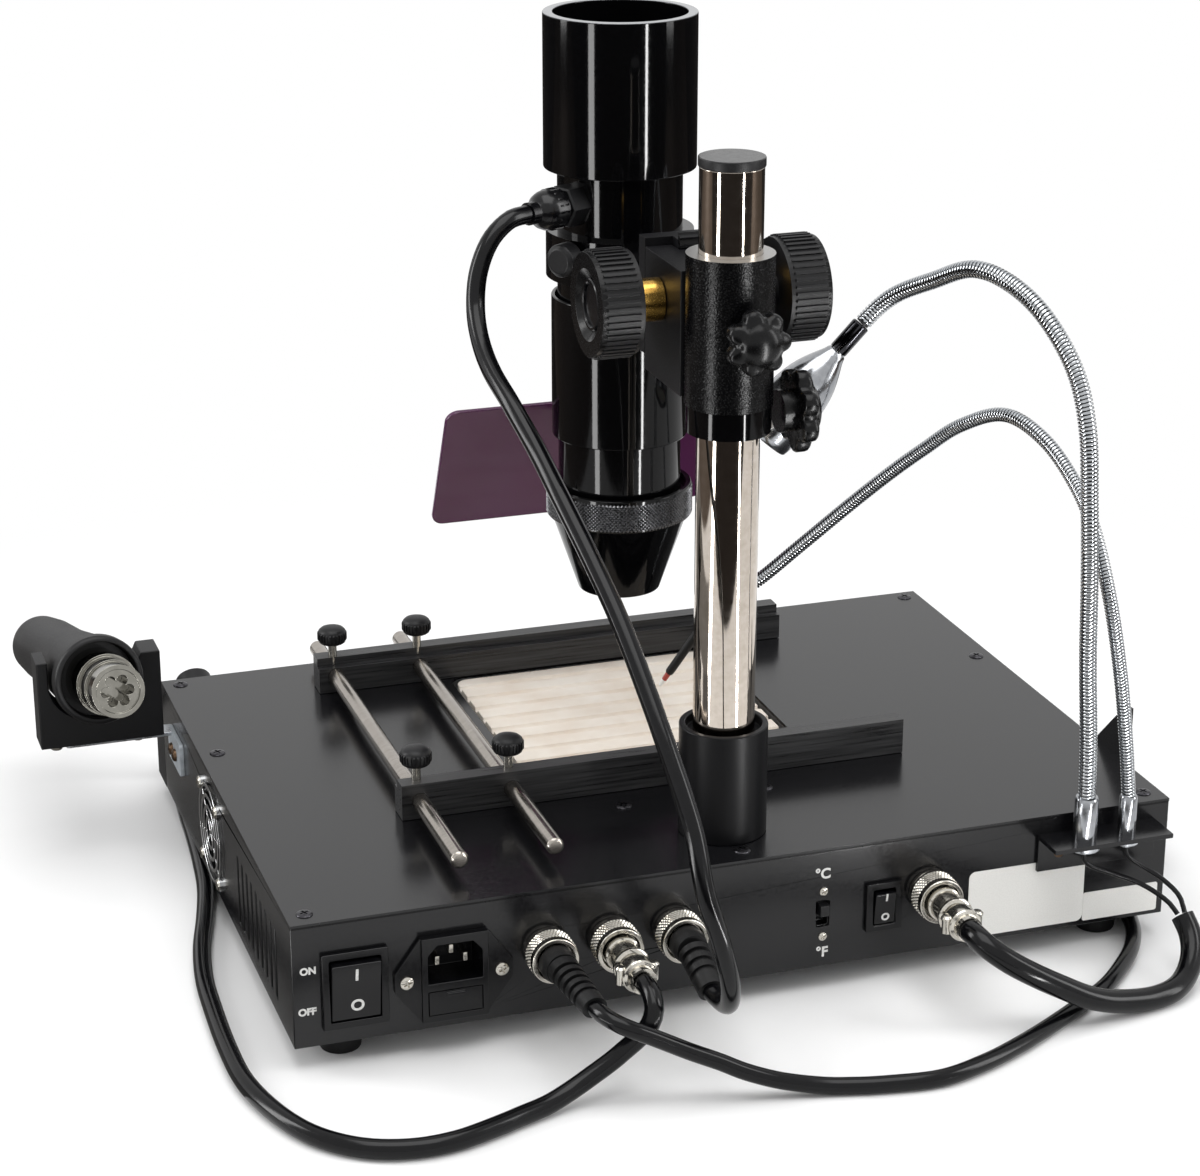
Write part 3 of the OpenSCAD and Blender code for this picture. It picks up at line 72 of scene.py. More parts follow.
def add(tree, kind, settings=None, **inputs):
    """Adds one node. Inputs are sockets to link or values to set, by socket name with _ for a space."""
    node = tree.nodes.new(kind)
    for key, value in (settings or {}).items():
        setattr(node, key, value)
    for key, value in inputs.items():
        socket = node.inputs[int(key[1:]) if key[0] == "i" and key[1:].isdigit() else key.replace("_", " ")]
        if isinstance(value, bpy.types.NodeSocket):
            tree.links.new(value, socket)
        else:
            socket.default_value = value
    return node


def material(name, colour, roughness, metallic=0.0, gloss=0.5, **sockets):
    """A plain finish. gloss is its specular level, and other sockets go by name with _ for a space."""
    made = bpy.data.materials.new(name)
    made.use_nodes = True
    made.diffuse_color = linear(colour)
    shader = made.node_tree.nodes["Principled BSDF"]
    sockets.update(Base_Color=linear(colour), Roughness=roughness, Metallic=metallic, Specular_IOR_Level=gloss)
    for key, value in sockets.items():
        shader.inputs[key.replace("_", " ")].default_value = value
    return made


def grain(made, size, bump=0.0, rough=None, colours=None, stretch=(1, 1, 1), depth=0.05, detail=3.0):
    """A noise of that grain size in mm: bump height, a range of roughness and a range of colours."""
    tree = made.node_tree
    shader = tree.nodes["Principled BSDF"]
    where = add(tree, "ShaderNodeTexCoord").outputs["Object"]
    spot = add(tree, "ShaderNodeMapping", Vector=where, Scale=stretch).outputs["Vector"]
    noise = add(tree, "ShaderNodeTexNoise", Vector=spot, Scale=1 / (size * MM), Detail=detail).outputs["Fac"]
    if rough:
        low, high = rough
        span = add(tree, "ShaderNodeMapRange", Value=noise, From_Min=0.3, From_Max=0.7, To_Min=low, To_Max=high)
        tree.links.new(span.outputs["Result"], shader.inputs["Roughness"])
    if colours:
        ramp = add(tree, "ShaderNodeValToRGB", Fac=noise)
        for stop, at, colour in zip(ramp.color_ramp.elements, (0.3, 0.7), colours):
            stop.position = at
            stop.color = linear(colour)
        tree.links.new(ramp.outputs["Color"], shader.inputs["Base Color"])
    if bump:
        raised = add(tree, "ShaderNodeBump", Height=noise, Strength=bump, Distance=depth * MM)
        tree.links.new(raised.outputs["Normal"], shader.inputs["Normal"])
    return made


# Powder coat on folded steel sheet: black, satin, with a faint orange-peel skin.
powder_coat = grain(
    material("powder_coated_steel", "#0f0f11", 0.2, gloss=0.4),
    1.4, bump=0.05, rough=(0.17, 0.24), colours=("#0d0d0f", "#121214"),
)
# Crinkle paint: black wrinkles about a millimetre across that break up the highlight.
crinkle_paint = grain(
    material("crinkle_painted_casting", "#050506", 0.22, gloss=0.16),
    0.75, bump=0.7, rough=(0.17, 0.3), colours=("#030304", "#070708"), depth=0.2, detail=1.0,
)
# Gloss black anodising on turned aluminium: deep black with thin bright lines down the tube.
gloss_anodised = grain(
    material("gloss_anodised_aluminium", "#050506", 0.07, gloss=0.22),
    0.8, bump=0.04, rough=(0.04, 0.1), colours=("#040405", "#070708"), depth=0.03,
)
# Matte dark grey anodising, bead blasted.
matte_anodised = grain(
    material("matte_anodised_aluminium", "#101012", 0.42, gloss=0.18),
    0.6, bump=0.06, rough=(0.36, 0.48), colours=("#0d0d0f", "#131315"),
)
# Satin black anodising on turned aluminium: soft wide highlight down the side.
satin_anodised = grain(
    material("satin_anodised_aluminium", "#08080a", 0.36, gloss=0.16),
    0.5, bump=0.04, rough=(0.32, 0.42), colours=("#08080a", "#0d0d0f"),
)
# Black anodising over brushed bar: fine streaks along the bar.
brushed_anodised = grain(
    material("brushed_anodised_bar", "#1a1a1b", 0.34, gloss=0.4),
    1.1, bump=0.25, rough=(0.24, 0.5), colours=("#151516", "#343435"), stretch=(0.03, 1, 1), depth=0.1,
)
# Polished chrome plate: a mirror with a very light haze.
chrome = grain(
    material("polished_chrome", "#d9dadb", 0.06, 1.0), 3.0, rough=(0.04, 0.09), colours=("#d2d3d4", "#dedfe0")
)
# Black chrome: a dark mirror.
black_chrome = grain(
    material("black_chrome", "#37373a", 0.1, 1.0), 3.0, rough=(0.07, 0.13), colours=("#323235", "#3d3d40")
)
# Blackened screw heads: dim, with worn bright spots.
black_zinc = grain(
    material("black_zinc_screw", "#3e3d40", 0.3, 1.0), 1.2, rough=(0.24, 0.38), colours=("#2b2a2d", "#535256")
)
# Nickel plate: a little warmer and softer than chrome.
nickel = grain(
    material("nickel_plate", "#c3bfb6", 0.16, 1.0), 1.0, rough=(0.12, 0.22), colours=("#b9b5ac", "#cac6bd")
)
# Ground steel rod: fine rings round the rod from grinding, drawn at 0.4 mm so that they show.
ground_steel = grain(
    material("ground_steel_rod", "#a39d96", 0.2, 1.0),
    0.4, bump=0.03, rough=(0.16, 0.26), colours=("#938d86", "#b1aba4"), stretch=(0.03, 1, 0.03),
)
# Bright nickel under a thin chrome flash on the pillar: a clean, slightly warm mirror.
bright_nickel = grain(
    material("bright_nickel_plate", "#c8beb3", 0.05, 1.0), 3.0, rough=(0.035, 0.07), colours=("#c1b7ab", "#cfc5bb")
)
# Satin chrome of the light's head, the necks' ferrules and the lamp's rim: grey with soft streaks.
satin_chrome = grain(
    material("satin_chrome", "#9c9ea1", 0.17, 1.0), 3.0, rough=(0.13, 0.21), colours=("#94969a", "#a5a7aa")
)
# Drawn strip of the goosenecks: chrome that has lost its shine between the turns.
neck_chrome = grain(
    material("drawn_chrome_strip", "#b4b7ba", 0.11, 1.0), 2.0, rough=(0.08, 0.15), colours=("#a9acaf", "#bfc2c5")
)
# Heat-dulled steel of the hot-air nozzle.
dull_steel = grain(
    material("heat_dulled_steel", "#8b8982", 0.1, 1.0), 6.0, rough=(0.07, 0.13), colours=("#83817a", "#93918a")
)
# Passivated zinc leaf on the case's side: pale and cloudy.
zinc_leaf = grain(
    material("passivated_zinc", "#b4bbc1", 0.45, 0.35), 4.0, rough=(0.36, 0.55), colours=("#a6adb3", "#c2c9cf")
)
# Knurl worn bright on its points.
worn_knurl = grain(
    material("worn_knurl", "#59595b", 0.26, 1.0), 1.0, rough=(0.2, 0.34), colours=("#454547", "#6f6f71")
)
# Bronzed screws of the brackets.
bronzed = grain(
    material("bronzed_steel", "#5f4a3a", 0.38, 1.0), 1.0, rough=(0.3, 0.46), colours=("#4a392c", "#75604d")
)
# Dead black plastic of the star knobs and the focus knobs' sunk faces.
knob_black = grain(
    material("dead_black_abs", "#070708", 0.25, gloss=0.2), 1.0, rough=(0.21, 0.29), colours=("#060607", "#09090a")
)
# Zinc plate on folded steel: pale, slightly blue and cloudy.
zinc = grain(
    material("zinc_plated_steel", "#b9bcc0", 0.3, 1.0), 4.0, rough=(0.22, 0.4), colours=("#aaadb1", "#c6c9cd")
)
# Turned brass: warm yellow with a soft lathe finish.
brass = grain(
    material("turned_brass", "#c29a4c", 0.2, 1.0),
    0.5, bump=0.05, rough=(0.15, 0.28), colours=("#b48b3e", "#cda65a"),
)
# Machined aluminium face left bare.
machined = grain(material("machined_aluminium_face", "#a9a8a6", 0.36, 1.0), 0.5, bump=0.08, rough=(0.3, 0.44))
# Polished black plastic of switches and the inlet.
gloss_plastic = grain(
    material("polished_black_abs", "#08080a", 0.2, gloss=0.3),
    2.0, rough=(0.16, 0.25), colours=("#060608", "#0b0b0d"),
)
# Moulded black plastic with a fine spark-eroded texture of about half a millimetre.
moulded = grain(
    material("textured_black_abs", "#0c0c0e", 0.42, gloss=0.28),
    0.5, bump=0.12, rough=(0.36, 0.5), colours=("#09090b", "#101012"),
)
# Black PVC jacket of the cords: smooth, soft gloss.
cord_jacket = grain(
    material("black_pvc_jacket", "#060608", 0.17, gloss=0.24),
    3.0, rough=(0.14, 0.2), colours=("#050507", "#08080a"),
)
# Moulded rubber of feet and boots: matte.
rubber = grain(material("moulded_rubber", "#09090a", 0.46, gloss=0.28), 0.8, bump=0.08, rough=(0.44, 0.58))
# Unglazed heater ceramic: cream, faintly mottled, with a sandy grain.
ceramic = grain(
    material("unglazed_ceramic", "#e9e0d4", 0.75, gloss=0.25),
    22.0, bump=0.05, colours=("#e2d6c8", "#efe8de"), depth=0.1,
)
# Tinted polycarbonate of the visor: dark violet, clear enough to see light through.
visor_tint = grain(
    material("tinted_polycarbonate", "#5a2852", 0.09, gloss=0.4, Transmission_Weight=0.3, IOR=1.58),
    30, rough=(0.07, 0.12),
)
# Quartz and filament of the infrared emitter, dull red.
emitter_red = grain(material("infrared_emitter", "#5e211b", 0.35), 5.0, colours=("#4e1a15", "#6d2a22"))
# Plain paper plate and printed marks on the panel.
plate_white = grain(
    material("white_paper_plate", "#ecebe7", 0.5, gloss=0.3), 0.6, bump=0.02, colours=("#e8e7e3", "#f0efeb")
)
print_white = grain(material("white_panel_print", "#d9d9d6", 0.55), 0.8, colours=("#cfcfcc", "#e0e0dd"))
# Frosted lens of the light, and the probe's red tip.
lens_frost = grain(material("frosted_lens", "#f1efe4", 0.35), 2.0, colours=("#eae8dc", "#f7f5ec"))
probe_red = grain(material("red_silicone_tip", "#a33a31", 0.5), 1.0, colours=("#973229", "#ae4439"))
# Dark red window over the displays, circuit board lacquer and lacquered steel core.
display_red = grain(material("red_display_window", "#2d0808", 0.12), 3.0, colours=("#290707", "#320a0a"))
board_green = grain(material("solder_mask", "#1d5233", 0.35), 3.0, colours=("#194a2d", "#225b3a"))
core_steel = grain(material("lacquered_steel_core", "#3a3a3e", 0.5), 3.0, colours=("#333337", "#424246"))
# Metal core of the goosenecks, its dark colour painted shade that stands for the shadow seen between the turns.
neck_shade_core = grain(material("painted_shade_neck_core", "#2a2a2b", 0.45, 0.6), 1.0, colours=("#232324", "#313132"))


# Meshes

UPRIGHT = Matrix.Identity(3)


def finished(mesh, sharp=30.0):
    """Smooth shading, apart from edges sharper than an angle in degrees."""
    mesh.shade_smooth()
    mesh.set_sharp_from_angle(angle=radians(sharp))
    return mesh


def linked(name, data):
    """A new object in the scene."""
    made = bpy.data.objects.new(name, data)
    scene.collection.objects.link(made)
    return made


def place(name, mesh, body, replaces=()):
    """Puts a finished mesh in the scene as a piece of that body."""
    piece = linked(name, mesh)
    if body:
        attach(piece, body)
    if replaces:
        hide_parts(*replaces)
    return piece


def applied(piece):
    """The mesh of a piece with its modifiers applied. The piece itself is removed."""
    seen = piece.evaluated_get(bpy.context.evaluated_depsgraph_get())
    mesh = bpy.data.meshes.new_from_object(seen)
    bpy.data.objects.remove(piece)
    return mesh


def mesh_of(bm, name, finishes=()):
    mesh = bpy.data.meshes.new(name)
    bm.to_mesh(mesh)
    bm.free()
    for finish in finishes if isinstance(finishes, (list, tuple)) else [finishes]:
        mesh.materials.append(finish)
    return mesh


def bevelled(mesh, width):
    """Rounds a mesh's edges. Normals weighted by area keep its flat faces flat to the eye."""
    piece = linked("work", mesh)
    edge = piece.modifiers.new("edge", "BEVEL")
    edge.width = width * MM
    edge.segments = 2
    edge.limit_method = "ANGLE"
    edge.angle_limit = radians(35)
    edge.miter_outer = "MITER_ARC"
    piece = linked("work", finished(applied(piece), 50))
    piece.modifiers.new("weigh", "WEIGHTED_NORMAL").keep_sharp = True
    return applied(piece)


BODY_OF = {n: b for b, nodes in frame["record"]["behaviour"]["bodies"].items() for n in nodes}


def node_bm(node, shape=None, join=True):
    """A node's solids as one welded mesh, its flat faces joined up if asked. shape moves its points, in mm."""
    bm = bmesh.new()
    bm.from_mesh(frame["nodes"][node].data)
    bmesh.ops.remove_doubles(bm, verts=bm.verts, dist=2e-6)
    if join:
        bmesh.ops.dissolve_limit(bm, angle_limit=radians(0.4), verts=bm.verts, edges=bm.edges)
    for v in bm.verts if shape else ():
        v.co = Vector(shape(v.co / MM)) * MM
    return bm


def dress(node, finishes, pick=None, bevel=0.4, shape=None, join=True):
    """Stands for a node with softened edges. pick gives a face's finish from its middle (mm) and normal."""
    bm = node_bm(node, shape, join)
    for face in bm.faces:
        face.material_index = pick(face.calc_center_median() / MM, face.normal) if pick else 0
    mesh = mesh_of(bm, node, finishes)
    mesh = bevelled(mesh, bevel) if bevel else finished(mesh)
    place(node + "_skin", mesh, BODY_OF[node], [node])


def turned(axis):
    """Turns +Z to point along an axis."""
    return Vector(axis).to_track_quat("Z", "Y").to_matrix()


def ringed(bm, rows, steps, turn=UPRIGHT, at=(0, 0, 0)):
    """Rings of points round +Z, turned and moved. A row is a radius, or a list of one for each point, and a height."""
    rings = []
    for r, z in rows:
        radii = r if isinstance(r, list) else [r] * steps if r > 1e-6 else [0.0]
        spots = [(d, 2 * pi * k / steps) for k, d in enumerate(radii)]
        rings.append([bm.verts.new((Vector(at) + turn @ Vector((d * cos(a), d * sin(a), z))) * MM) for d, a in spots])
    return rings


def skinned(bm, rings, pick=None, caps=()):
    """Joins each ring to the next, closes the caps and turns all faces outwards. pick gives a strip's finish."""
    for i, (a, b) in enumerate(zip(rings, rings[1:])):
        count = max(len(a), len(b))
        for k in range(count):
            m = (k + 1) % count
            low = a if len(a) == 1 else [a[k], a[m]]
            high = b if len(b) == 1 else [b[m], b[k]]
            bm.faces.new(low + high).material_index = pick(i) if pick else 0
    for cap in caps:
        bm.faces.new(cap)
    bmesh.ops.recalc_face_normals(bm, faces=bm.faces)


def lathe(name, profile, at, axis, finishes, body, replaces=(), steps=72, pick=None, sharp=30.0):
    """A turned shape. The profile is rows of radius and height, and pick gives the finish between two rows."""
    bm = bmesh.new()
    skinned(bm, ringed(bm, profile, steps, turned(axis), at), pick)
    place(name, finished(mesh_of(bm, name, finishes), sharp), body, replaces)


def flow(points, step):
    """A smooth curve through the points, cut into even short steps."""
    points = [Vector(p) for p in points]
    ends = [2 * points[0] - points[1]] + points + [2 * points[-1] - points[-2]]
    fine = []
    for a, b, c, d in zip(ends, ends[1:], ends[2:], ends[3:]):
        for k in range(12):
            t = k / 12
            fine.append(b + t / 2 * ((c - a) + t * ((2 * a - 5 * b + 4 * c - d) + t * (3 * (b - c) + d - a))))
    fine.append(points[-1])
    lengths = [0.0]
    for a, b in zip(fine, fine[1:]):
        lengths.append(lengths[-1] + (b - a).length)
    count = max(2, ceil(lengths[-1] / step))
    even, k = [], 0
    for i in range(count + 1):
        want = lengths[-1] * i / count
        while k < len(fine) - 2 and lengths[k + 1] < want:
            k += 1
        even.append(fine[k].lerp(fine[k + 1], (want - lengths[k]) / max(1e-9, lengths[k + 1] - lengths[k])))
    return even


def frames(points):
    """A direction and two sides at each point of a path, carried along without twist."""
    side, made = None, []
    for i in range(len(points)):
        along = (points[min(i + 1, len(points) - 1)] - points[max(i - 1, 0)]).normalized()
        if side is None:
            side = along.orthogonal().normalized()
        side = (side - along * side.dot(along)).normalized()
        made.append((along, side, along.cross(side)))
    return made


def tube_mesh(name, points, turns, radius, finish, sides=20):
    """A closed round tube along a path with its directions."""
    bm = bmesh.new()
    rings = []
    for p, (_, u, v) in zip(points, turns):
        corners = (2 * pi * k / sides for k in range(sides))
        rings.append([bm.verts.new((p + radius * (cos(a) * u + sin(a) * v)) * MM) for a in corners])
    skinned(bm, rings, caps=(rings[0][::-1], rings[-1]))
    return finished(mesh_of(bm, name, finish), 50)


def repeat_tree():
    """Geometry Nodes: sets a small shape on every point, turned as the point says."""
    tree = bpy.data.node_groups.new("repeat_on_points", "GeometryNodeTree")
    ports = {}
    for label, kind in (("Points", "Geometry"), ("Shape", "Object"), ("Finish", "Material")):
        ports[label] = tree.interface.new_socket(label, in_out="INPUT", socket_type="NodeSocket" + kind).identifier
    tree.interface.new_socket("Pieces", in_out="OUTPUT", socket_type="NodeSocketGeometry")
    given = add(tree, "NodeGroupInput").outputs
    turn = add(tree, "GeometryNodeInputNamedAttribute", {"data_type": "FLOAT_VECTOR"}, Name="turn")
    shape = add(tree, "GeometryNodeObjectInfo", Object=given["Shape"]).outputs["Geometry"]
    rotation = add(tree, "FunctionNodeEulerToRotation", Euler=turn.outputs["Attribute"]).outputs["Rotation"]
    set_on = add(tree, "GeometryNodeInstanceOnPoints", Points=given["Points"], Instance=shape, Rotation=rotation)
    real = add(tree, "GeometryNodeRealizeInstances", Geometry=set_on.outputs["Instances"]).outputs["Geometry"]
    done = add(tree, "GeometryNodeSetMaterial", Geometry=real, Material=given["Finish"]).outputs["Geometry"]
    add(tree, "NodeGroupOutput", Pieces=done)
    return tree, ports


REPEAT, PORTS = repeat_tree()


def repeated(name, shape, spots, finish, body, replaces=()):
    """One mesh of a small shape on many spots. A spot is a place in mm and a 3 by 3 turn."""
    small = linked("shape", shape)
    dots = bpy.data.meshes.new("dots")
    dots.from_pydata([Vector(p) * MM for p, _ in spots], [], [])
    held = dots.attributes.new("turn", "FLOAT_VECTOR", "POINT")
    held.data.foreach_set("vector", [a for _, turn in spots for a in turn.to_euler()])
    piece = linked("dots", dots)
    nodes = piece.modifiers.new("repeat", "NODES")
    nodes.node_group = REPEAT
    nodes[PORTS["Shape"]] = small
    nodes[PORTS["Finish"]] = finish
    mesh = applied(piece)
    bpy.data.objects.remove(small)
    mesh.name = name
    place(name, finished(mesh), body, replaces)


def box_mesh(size, taper):
    """A small bar on z 0 with its top drawn in, in mm."""
    bm = bmesh.new()
    x, y, z = size[0] / 2, size[1] / 2, size[2]
    corners = ((-x, -y), (x, -y), (x, y), (-x, y))
    base = [bm.verts.new(Vector((u, v, 0)) * MM) for u, v in corners]
    top = [bm.verts.new(Vector((u * taper, v * taper, z)) * MM) for u, v in corners]
    bm.faces.new(base[::-1])
    bm.faces.new(top)
    for k in range(4):
        bm.faces.new([base[k], base[(k + 1) % 4], top[(k + 1) % 4], top[k]])
    return mesh_of(bm, "bar")


def round_spots(at, axis, radius, count, rows=(0.0,), lean=0.0, offset=0.0):
    """Spots round an axis, each with +Z outwards and +X along the axis, leaned over by an angle."""
    turn, at, spots = turned(axis), Vector(at), []
    for j, height in enumerate(rows):
        for k in range(count):
            a = 2 * pi * (k + (offset if j % 2 else 0)) / count
            out = Vector((cos(a), sin(a), 0))
            up = Vector((0, 0, 1))
            x = Matrix.Rotation(lean, 3, out) @ up
            local = Matrix((x, out.cross(x), out)).transposed()
            spots.append((at + turn @ (out * radius + up * height), turn @ local))
    return spots


def plate(name, outline, height, at, axes, finish, bevel=0.0):
    """A flat plate on the case, of an outline in mm that is raised along the third of its axes."""
    bm = bmesh.new()
    u, v, n = (Vector(a) for a in axes)
    face = bm.faces.new([bm.verts.new((Vector(at) + u * p[0] + v * p[1]) * MM) for p in outline])
    raised = bmesh.ops.extrude_face_region(bm, geom=[face])["geom"]
    tops = [g for g in raised if isinstance(g, bmesh.types.BMVert)]
    bmesh.ops.translate(bm, vec=n * height * MM, verts=tops)
    bmesh.ops.recalc_face_normals(bm, faces=bm.faces)
    mesh = mesh_of(bm, name, finish)
    place(name, bevelled(mesh, bevel) if bevel else finished(mesh), "base")


def rounded(w, h, r):
    """The outline of a rectangle with round corners, about its middle."""
    return [
        (sx * (w / 2 - r) + r * cos(a), sy * (h / 2 - r) + r * sin(a))
        for sx, sy, q in ((1, 1, 0), (-1, 1, 1), (-1, -1, 2), (1, -1, 3))
        for a in (q * pi / 2 + k * pi / 2 / 6 for k in range(7))
    ]


# Camera and cords

VIEW_RIGHT = Vector((-0.94852, 0.31669, 0.0))
VIEW_UP = Vector((-0.11007, -0.32967, 0.93766))
VIEW_BACK = Vector((0.29695, 0.88939, 0.34756))
camera = linked("camera", bpy.data.cameras.new("camera"))
camera.data.lens = 90.44
camera.data.sensor_width = 36.0
camera.data.clip_end = 50.0
aimed = Matrix((VIEW_RIGHT, VIEW_UP, VIEW_BACK)).transposed().to_4x4()
camera.matrix_world = Matrix.Translation((0.418, 1.1915, 0.6063)) @ aimed
scene.camera = camera

LAMP_ROUTE = [
    (49.7, -9.8, 310), (59, -5.5, 309), (68.5, -2, 301.5), (75, 2, 289), (78, 8, 275), (79.5, 20, 264.5),
    (79.5, 36, 256), (77, 55, 247), (73, 76, 234), (70, 98, 220.5), (65.5, 122, 203), (61, 145, 184),
    (57.5, 167, 163), (54.5, 187, 142), (50.8, 203.5, 118), (48, 211.5, 93), (43, 213.8, 74.5), (37.5, 211, 55),
    (34.8, 206, 44), (32.9, 198.6, 36), (32.3, 189.5, 32.5), (33, 180.3, 32.4),
]
SOLDER_ROUTE = [
    (86, 191, 39.4), (84.6, 197.5, 39.2), (81.4, 203, 38.2), (76.2, 206.2, 36), (68.6, 207.3, 32.3),
    (60.3, 208.2, 27.8), (51.9, 209.4, 23.4), (41, 211, 18.2), (30, 213, 12.6), (16, 215.2, 7.4), (0, 218.6, 4.3),
    (-12, 221.5, 3.6), (-25, 224.5, 3.6), (-48, 227, 3.6), (-70, 221, 3.6), (-90, 212, 3.6), (-110, 201, 3.6),
    (-128, 190, 3.6), (-146, 178, 3.6), (-161, 164, 3.6), (-174, 149, 3.6), (-184, 131, 3.6), (-188, 112, 3.6),
    (-184, 85, 3.6), (-172, 50, 3.6), (-160, 5, 3.6), (-150, -40, 3.6), (-145, -80, 3.6), (-145, -115, 3.6),
    (-150, -145, 3.6), (-164, -168, 5), (-186, -178, 9), (-206, -170, 15), (-215.5, -152, 20.5), (-217, -130, 24.2),
    (-217, -106.4, 25),
]
HOT_AIR_ROUTE = [
    (61, 178, 40), (60.8, 183.5, 39.5), (60.8, 188.5, 37.3), (61.8, 192, 33.3), (64.5, 193.4, 28.5),
    (68.7, 193.4, 24.3), (74, 193.3, 20.2), (80, 193.5, 16), (88, 194, 11.5), (97, 195.5, 7.4), (108, 199, 4.7),
    (120, 203, 4.1), (133, 208, 4.1), (150, 213, 4.1), (168, 213, 4.1), (186, 206, 4.1), (201, 191, 4.1),
    (211, 169, 4.1), (217, 143, 4.1), (218, 114, 4.1), (217, 82, 4.1), (215, 52, 4.1), (210, 22, 4.1),
    (203, -6, 4.1), (197, -34, 4.1), (193.5, -62, 4.1), (191, -92, 4.1), (189.5, -116, 4.1), (187.5, -138, 4.1),
    (186, -155, 4.4), (185, -166, 9.5), (186.5, -173, 19), (192, -177, 29.5), (201, -181, 38.5), (212, -185, 46.5),
    (222, -188.5, 53.5), (231, -189.5, 61), (237.5, -186.5, 67.5), (240.26, -180.47, 70.88),
    (239.70, -174.04, 72.25),
]
LIGHTS_ROUTE = [
    (-82, 178, 40), (-82.1, 184, 39.9), (-84.8, 190, 37.5), (-92, 195, 32.3), (-102, 198.3, 26.3),
    (-114, 200, 19.6), (-127, 200.5, 12.8), (-141, 199, 8), (-157, 196.5, 5.2), (-170, 193, 5.2), (-180, 186, 7),
    (-187, 178, 12), (-189.5, 171, 18), (-188.6, 165, 24),
]
LIGHT_WIRE = [
    (-186.6, 164.3, 24.8), (-183, 160, 30), (-174, 153, 36), (-162, 147.5, 40.5), (-153.5, 145.5, 44),
    (-150.2, 145, 47.4), (-150, 145, 50.6),
]
PROBE_WIRE = [
    (-190, 164.4, 25), (-189.5, 159, 31), (-184.5, 152, 36.5), (-177, 147, 41.5), (-172, 145.2, 45),
    (-170.1, 145, 48), (-170, 145, 50.6),
]


def cord(route, diameter, pieces):
    """One cord of a diameter, made as pieces that end at points of its route.

    A piece is a name, the last point's number, a body or two bodies with the places where one hands over to the other,
    and the node that it stands for. The places are not used: a piece given two bodies rides neither body and stays
    where it is made.
    """
    path = flow(route, 3.0)
    turns = frames(path)
    start = 0
    for name, last, held, node in pieces:
        gaps = [(p - Vector(route[last])).length for p in path]
        stop = gaps.index(min(gaps))
        part = path[start : stop + 1]
        rides = held if isinstance(held, str) else None
        mesh = tube_mesh(name, part, turns[start : stop + 1], diameter / 2, cord_jacket)
        piece = place(name, mesh, rides, [node] if node else ())
        if not rides:
            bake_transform(piece)
        start = stop


cord(LAMP_ROUTE, 8, [
    ("lamp_cord_upper", 5, ("lamp", "carriage", LAMP_ROUTE[1], LAMP_ROUTE[5]), "lamp_cord"),
    ("lamp_cord_middle", 14, ("carriage", "collar", LAMP_ROUTE[5], LAMP_ROUTE[14]), None),
    ("lamp_cord_lower", -1, ("collar", "base", LAMP_ROUTE[14], (36, 215, 36)), None),
])
cord(SOLDER_ROUTE, 7, [
    ("solder_cord_main", 28, "base", "solder_cord"),
    ("solder_cord_end", -1, ("base", "iron", (-148, -140, 3.6), (-210, -140, 3.6)), None),
])
cord(HOT_AIR_ROUTE, 8, [("hot_air_hose", -1, ("base", "gun", (186, -170, 14), (234, -188, 64)), "hot_air_cord")])
cord(LIGHTS_ROUTE, 10, [("lights_lead", -1, "base", "lights_cord")])
cord(LIGHT_WIRE, 2.2, [("light_wire", -1, "base", None)])
cord(PROBE_WIRE, 2.2, [("probe_wire", -1, "base", None)])

# Case

dress("base_tray", powder_coat, bevel=0.5, join=False)
dress("top_cover", powder_coat, bevel=0.5)
dress("feet", rubber, bevel=0.8)
dress("heater_pan", zinc, bevel=0.3)
dress("ceramic_heater", ceramic, bevel=0.5)
dress("control_board", [board_green, core_steel], lambda c, n: 1 if c.x < 0 else 0, bevel=0.3)


def pan_head(radius, height):
    """A pan-head screw with a cross recess, standing on its seat."""
    bm = bmesh.new()
    shares = ((1, 0.25), (0.93, 0.6), (0.75, 0.86), (0.45, 1))
    rings = ringed(bm, [(0, -0.2), (radius, -0.2)] + [(r * radius, z * height) for r, z in shares], 32)
    skinned(bm, rings, caps=[rings[-1]])
    head = linked("head", mesh_of(bm, "head"))
    cut = bmesh.new()
    for turn in (0, pi / 2):
        made = bmesh.ops.create_cube(cut, size=1.0)["verts"]
        bmesh.ops.scale(cut, vec=(1.1 * radius * MM, 0.24 * radius * MM, 1.2 * height * MM), verts=made)
        bmesh.ops.rotate(cut, cent=(0, 0, 0), matrix=Matrix.Rotation(turn + 0.4, 3, "Z"), verts=made)
        bmesh.ops.translate(cut, vec=(0, 0, height * MM), verts=made)
    cross = linked("cross", mesh_of(cut, "cross"))
    sunk = head.modifiers.new("cross", "BOOLEAN")
    sunk.object = cross
    sunk.solver = "EXACT"
    sunk.use_self = True
    mesh = applied(head)
    bpy.data.objects.remove(cross)
    return mesh


TO_REAR = turned((0, 1, 0))
TO_SIDE = turned((1, 0, 0))
cover_spots = [((s * 187, y, COVER), UPRIGHT) for s in (-1, 1) for y in (127, -43, -129)]
cover_spots += [((x, y, COVER), UPRIGHT) for x, y in ((32.5, 69), (-32.5, 70), (0, 127))]
repeated("cover_screws", pan_head(3.5, 0.9), cover_spots, black_zinc, "base", ["case_screws"])
inlet_spots = [((x, REAR + 2, 34.4), TO_REAR) for x in (148.4, 108.4)]
repeated("inlet_screws", pan_head(3.0, 1.6), inlet_spots, nickel, "base")
unit_spots = [((-33.5, REAR, z), TO_REAR) for z in (46.2, 25.2)]
repeated("unit_screws", pan_head(2.0, 1.0), unit_spots, nickel, "base")

# Pillar and carriage

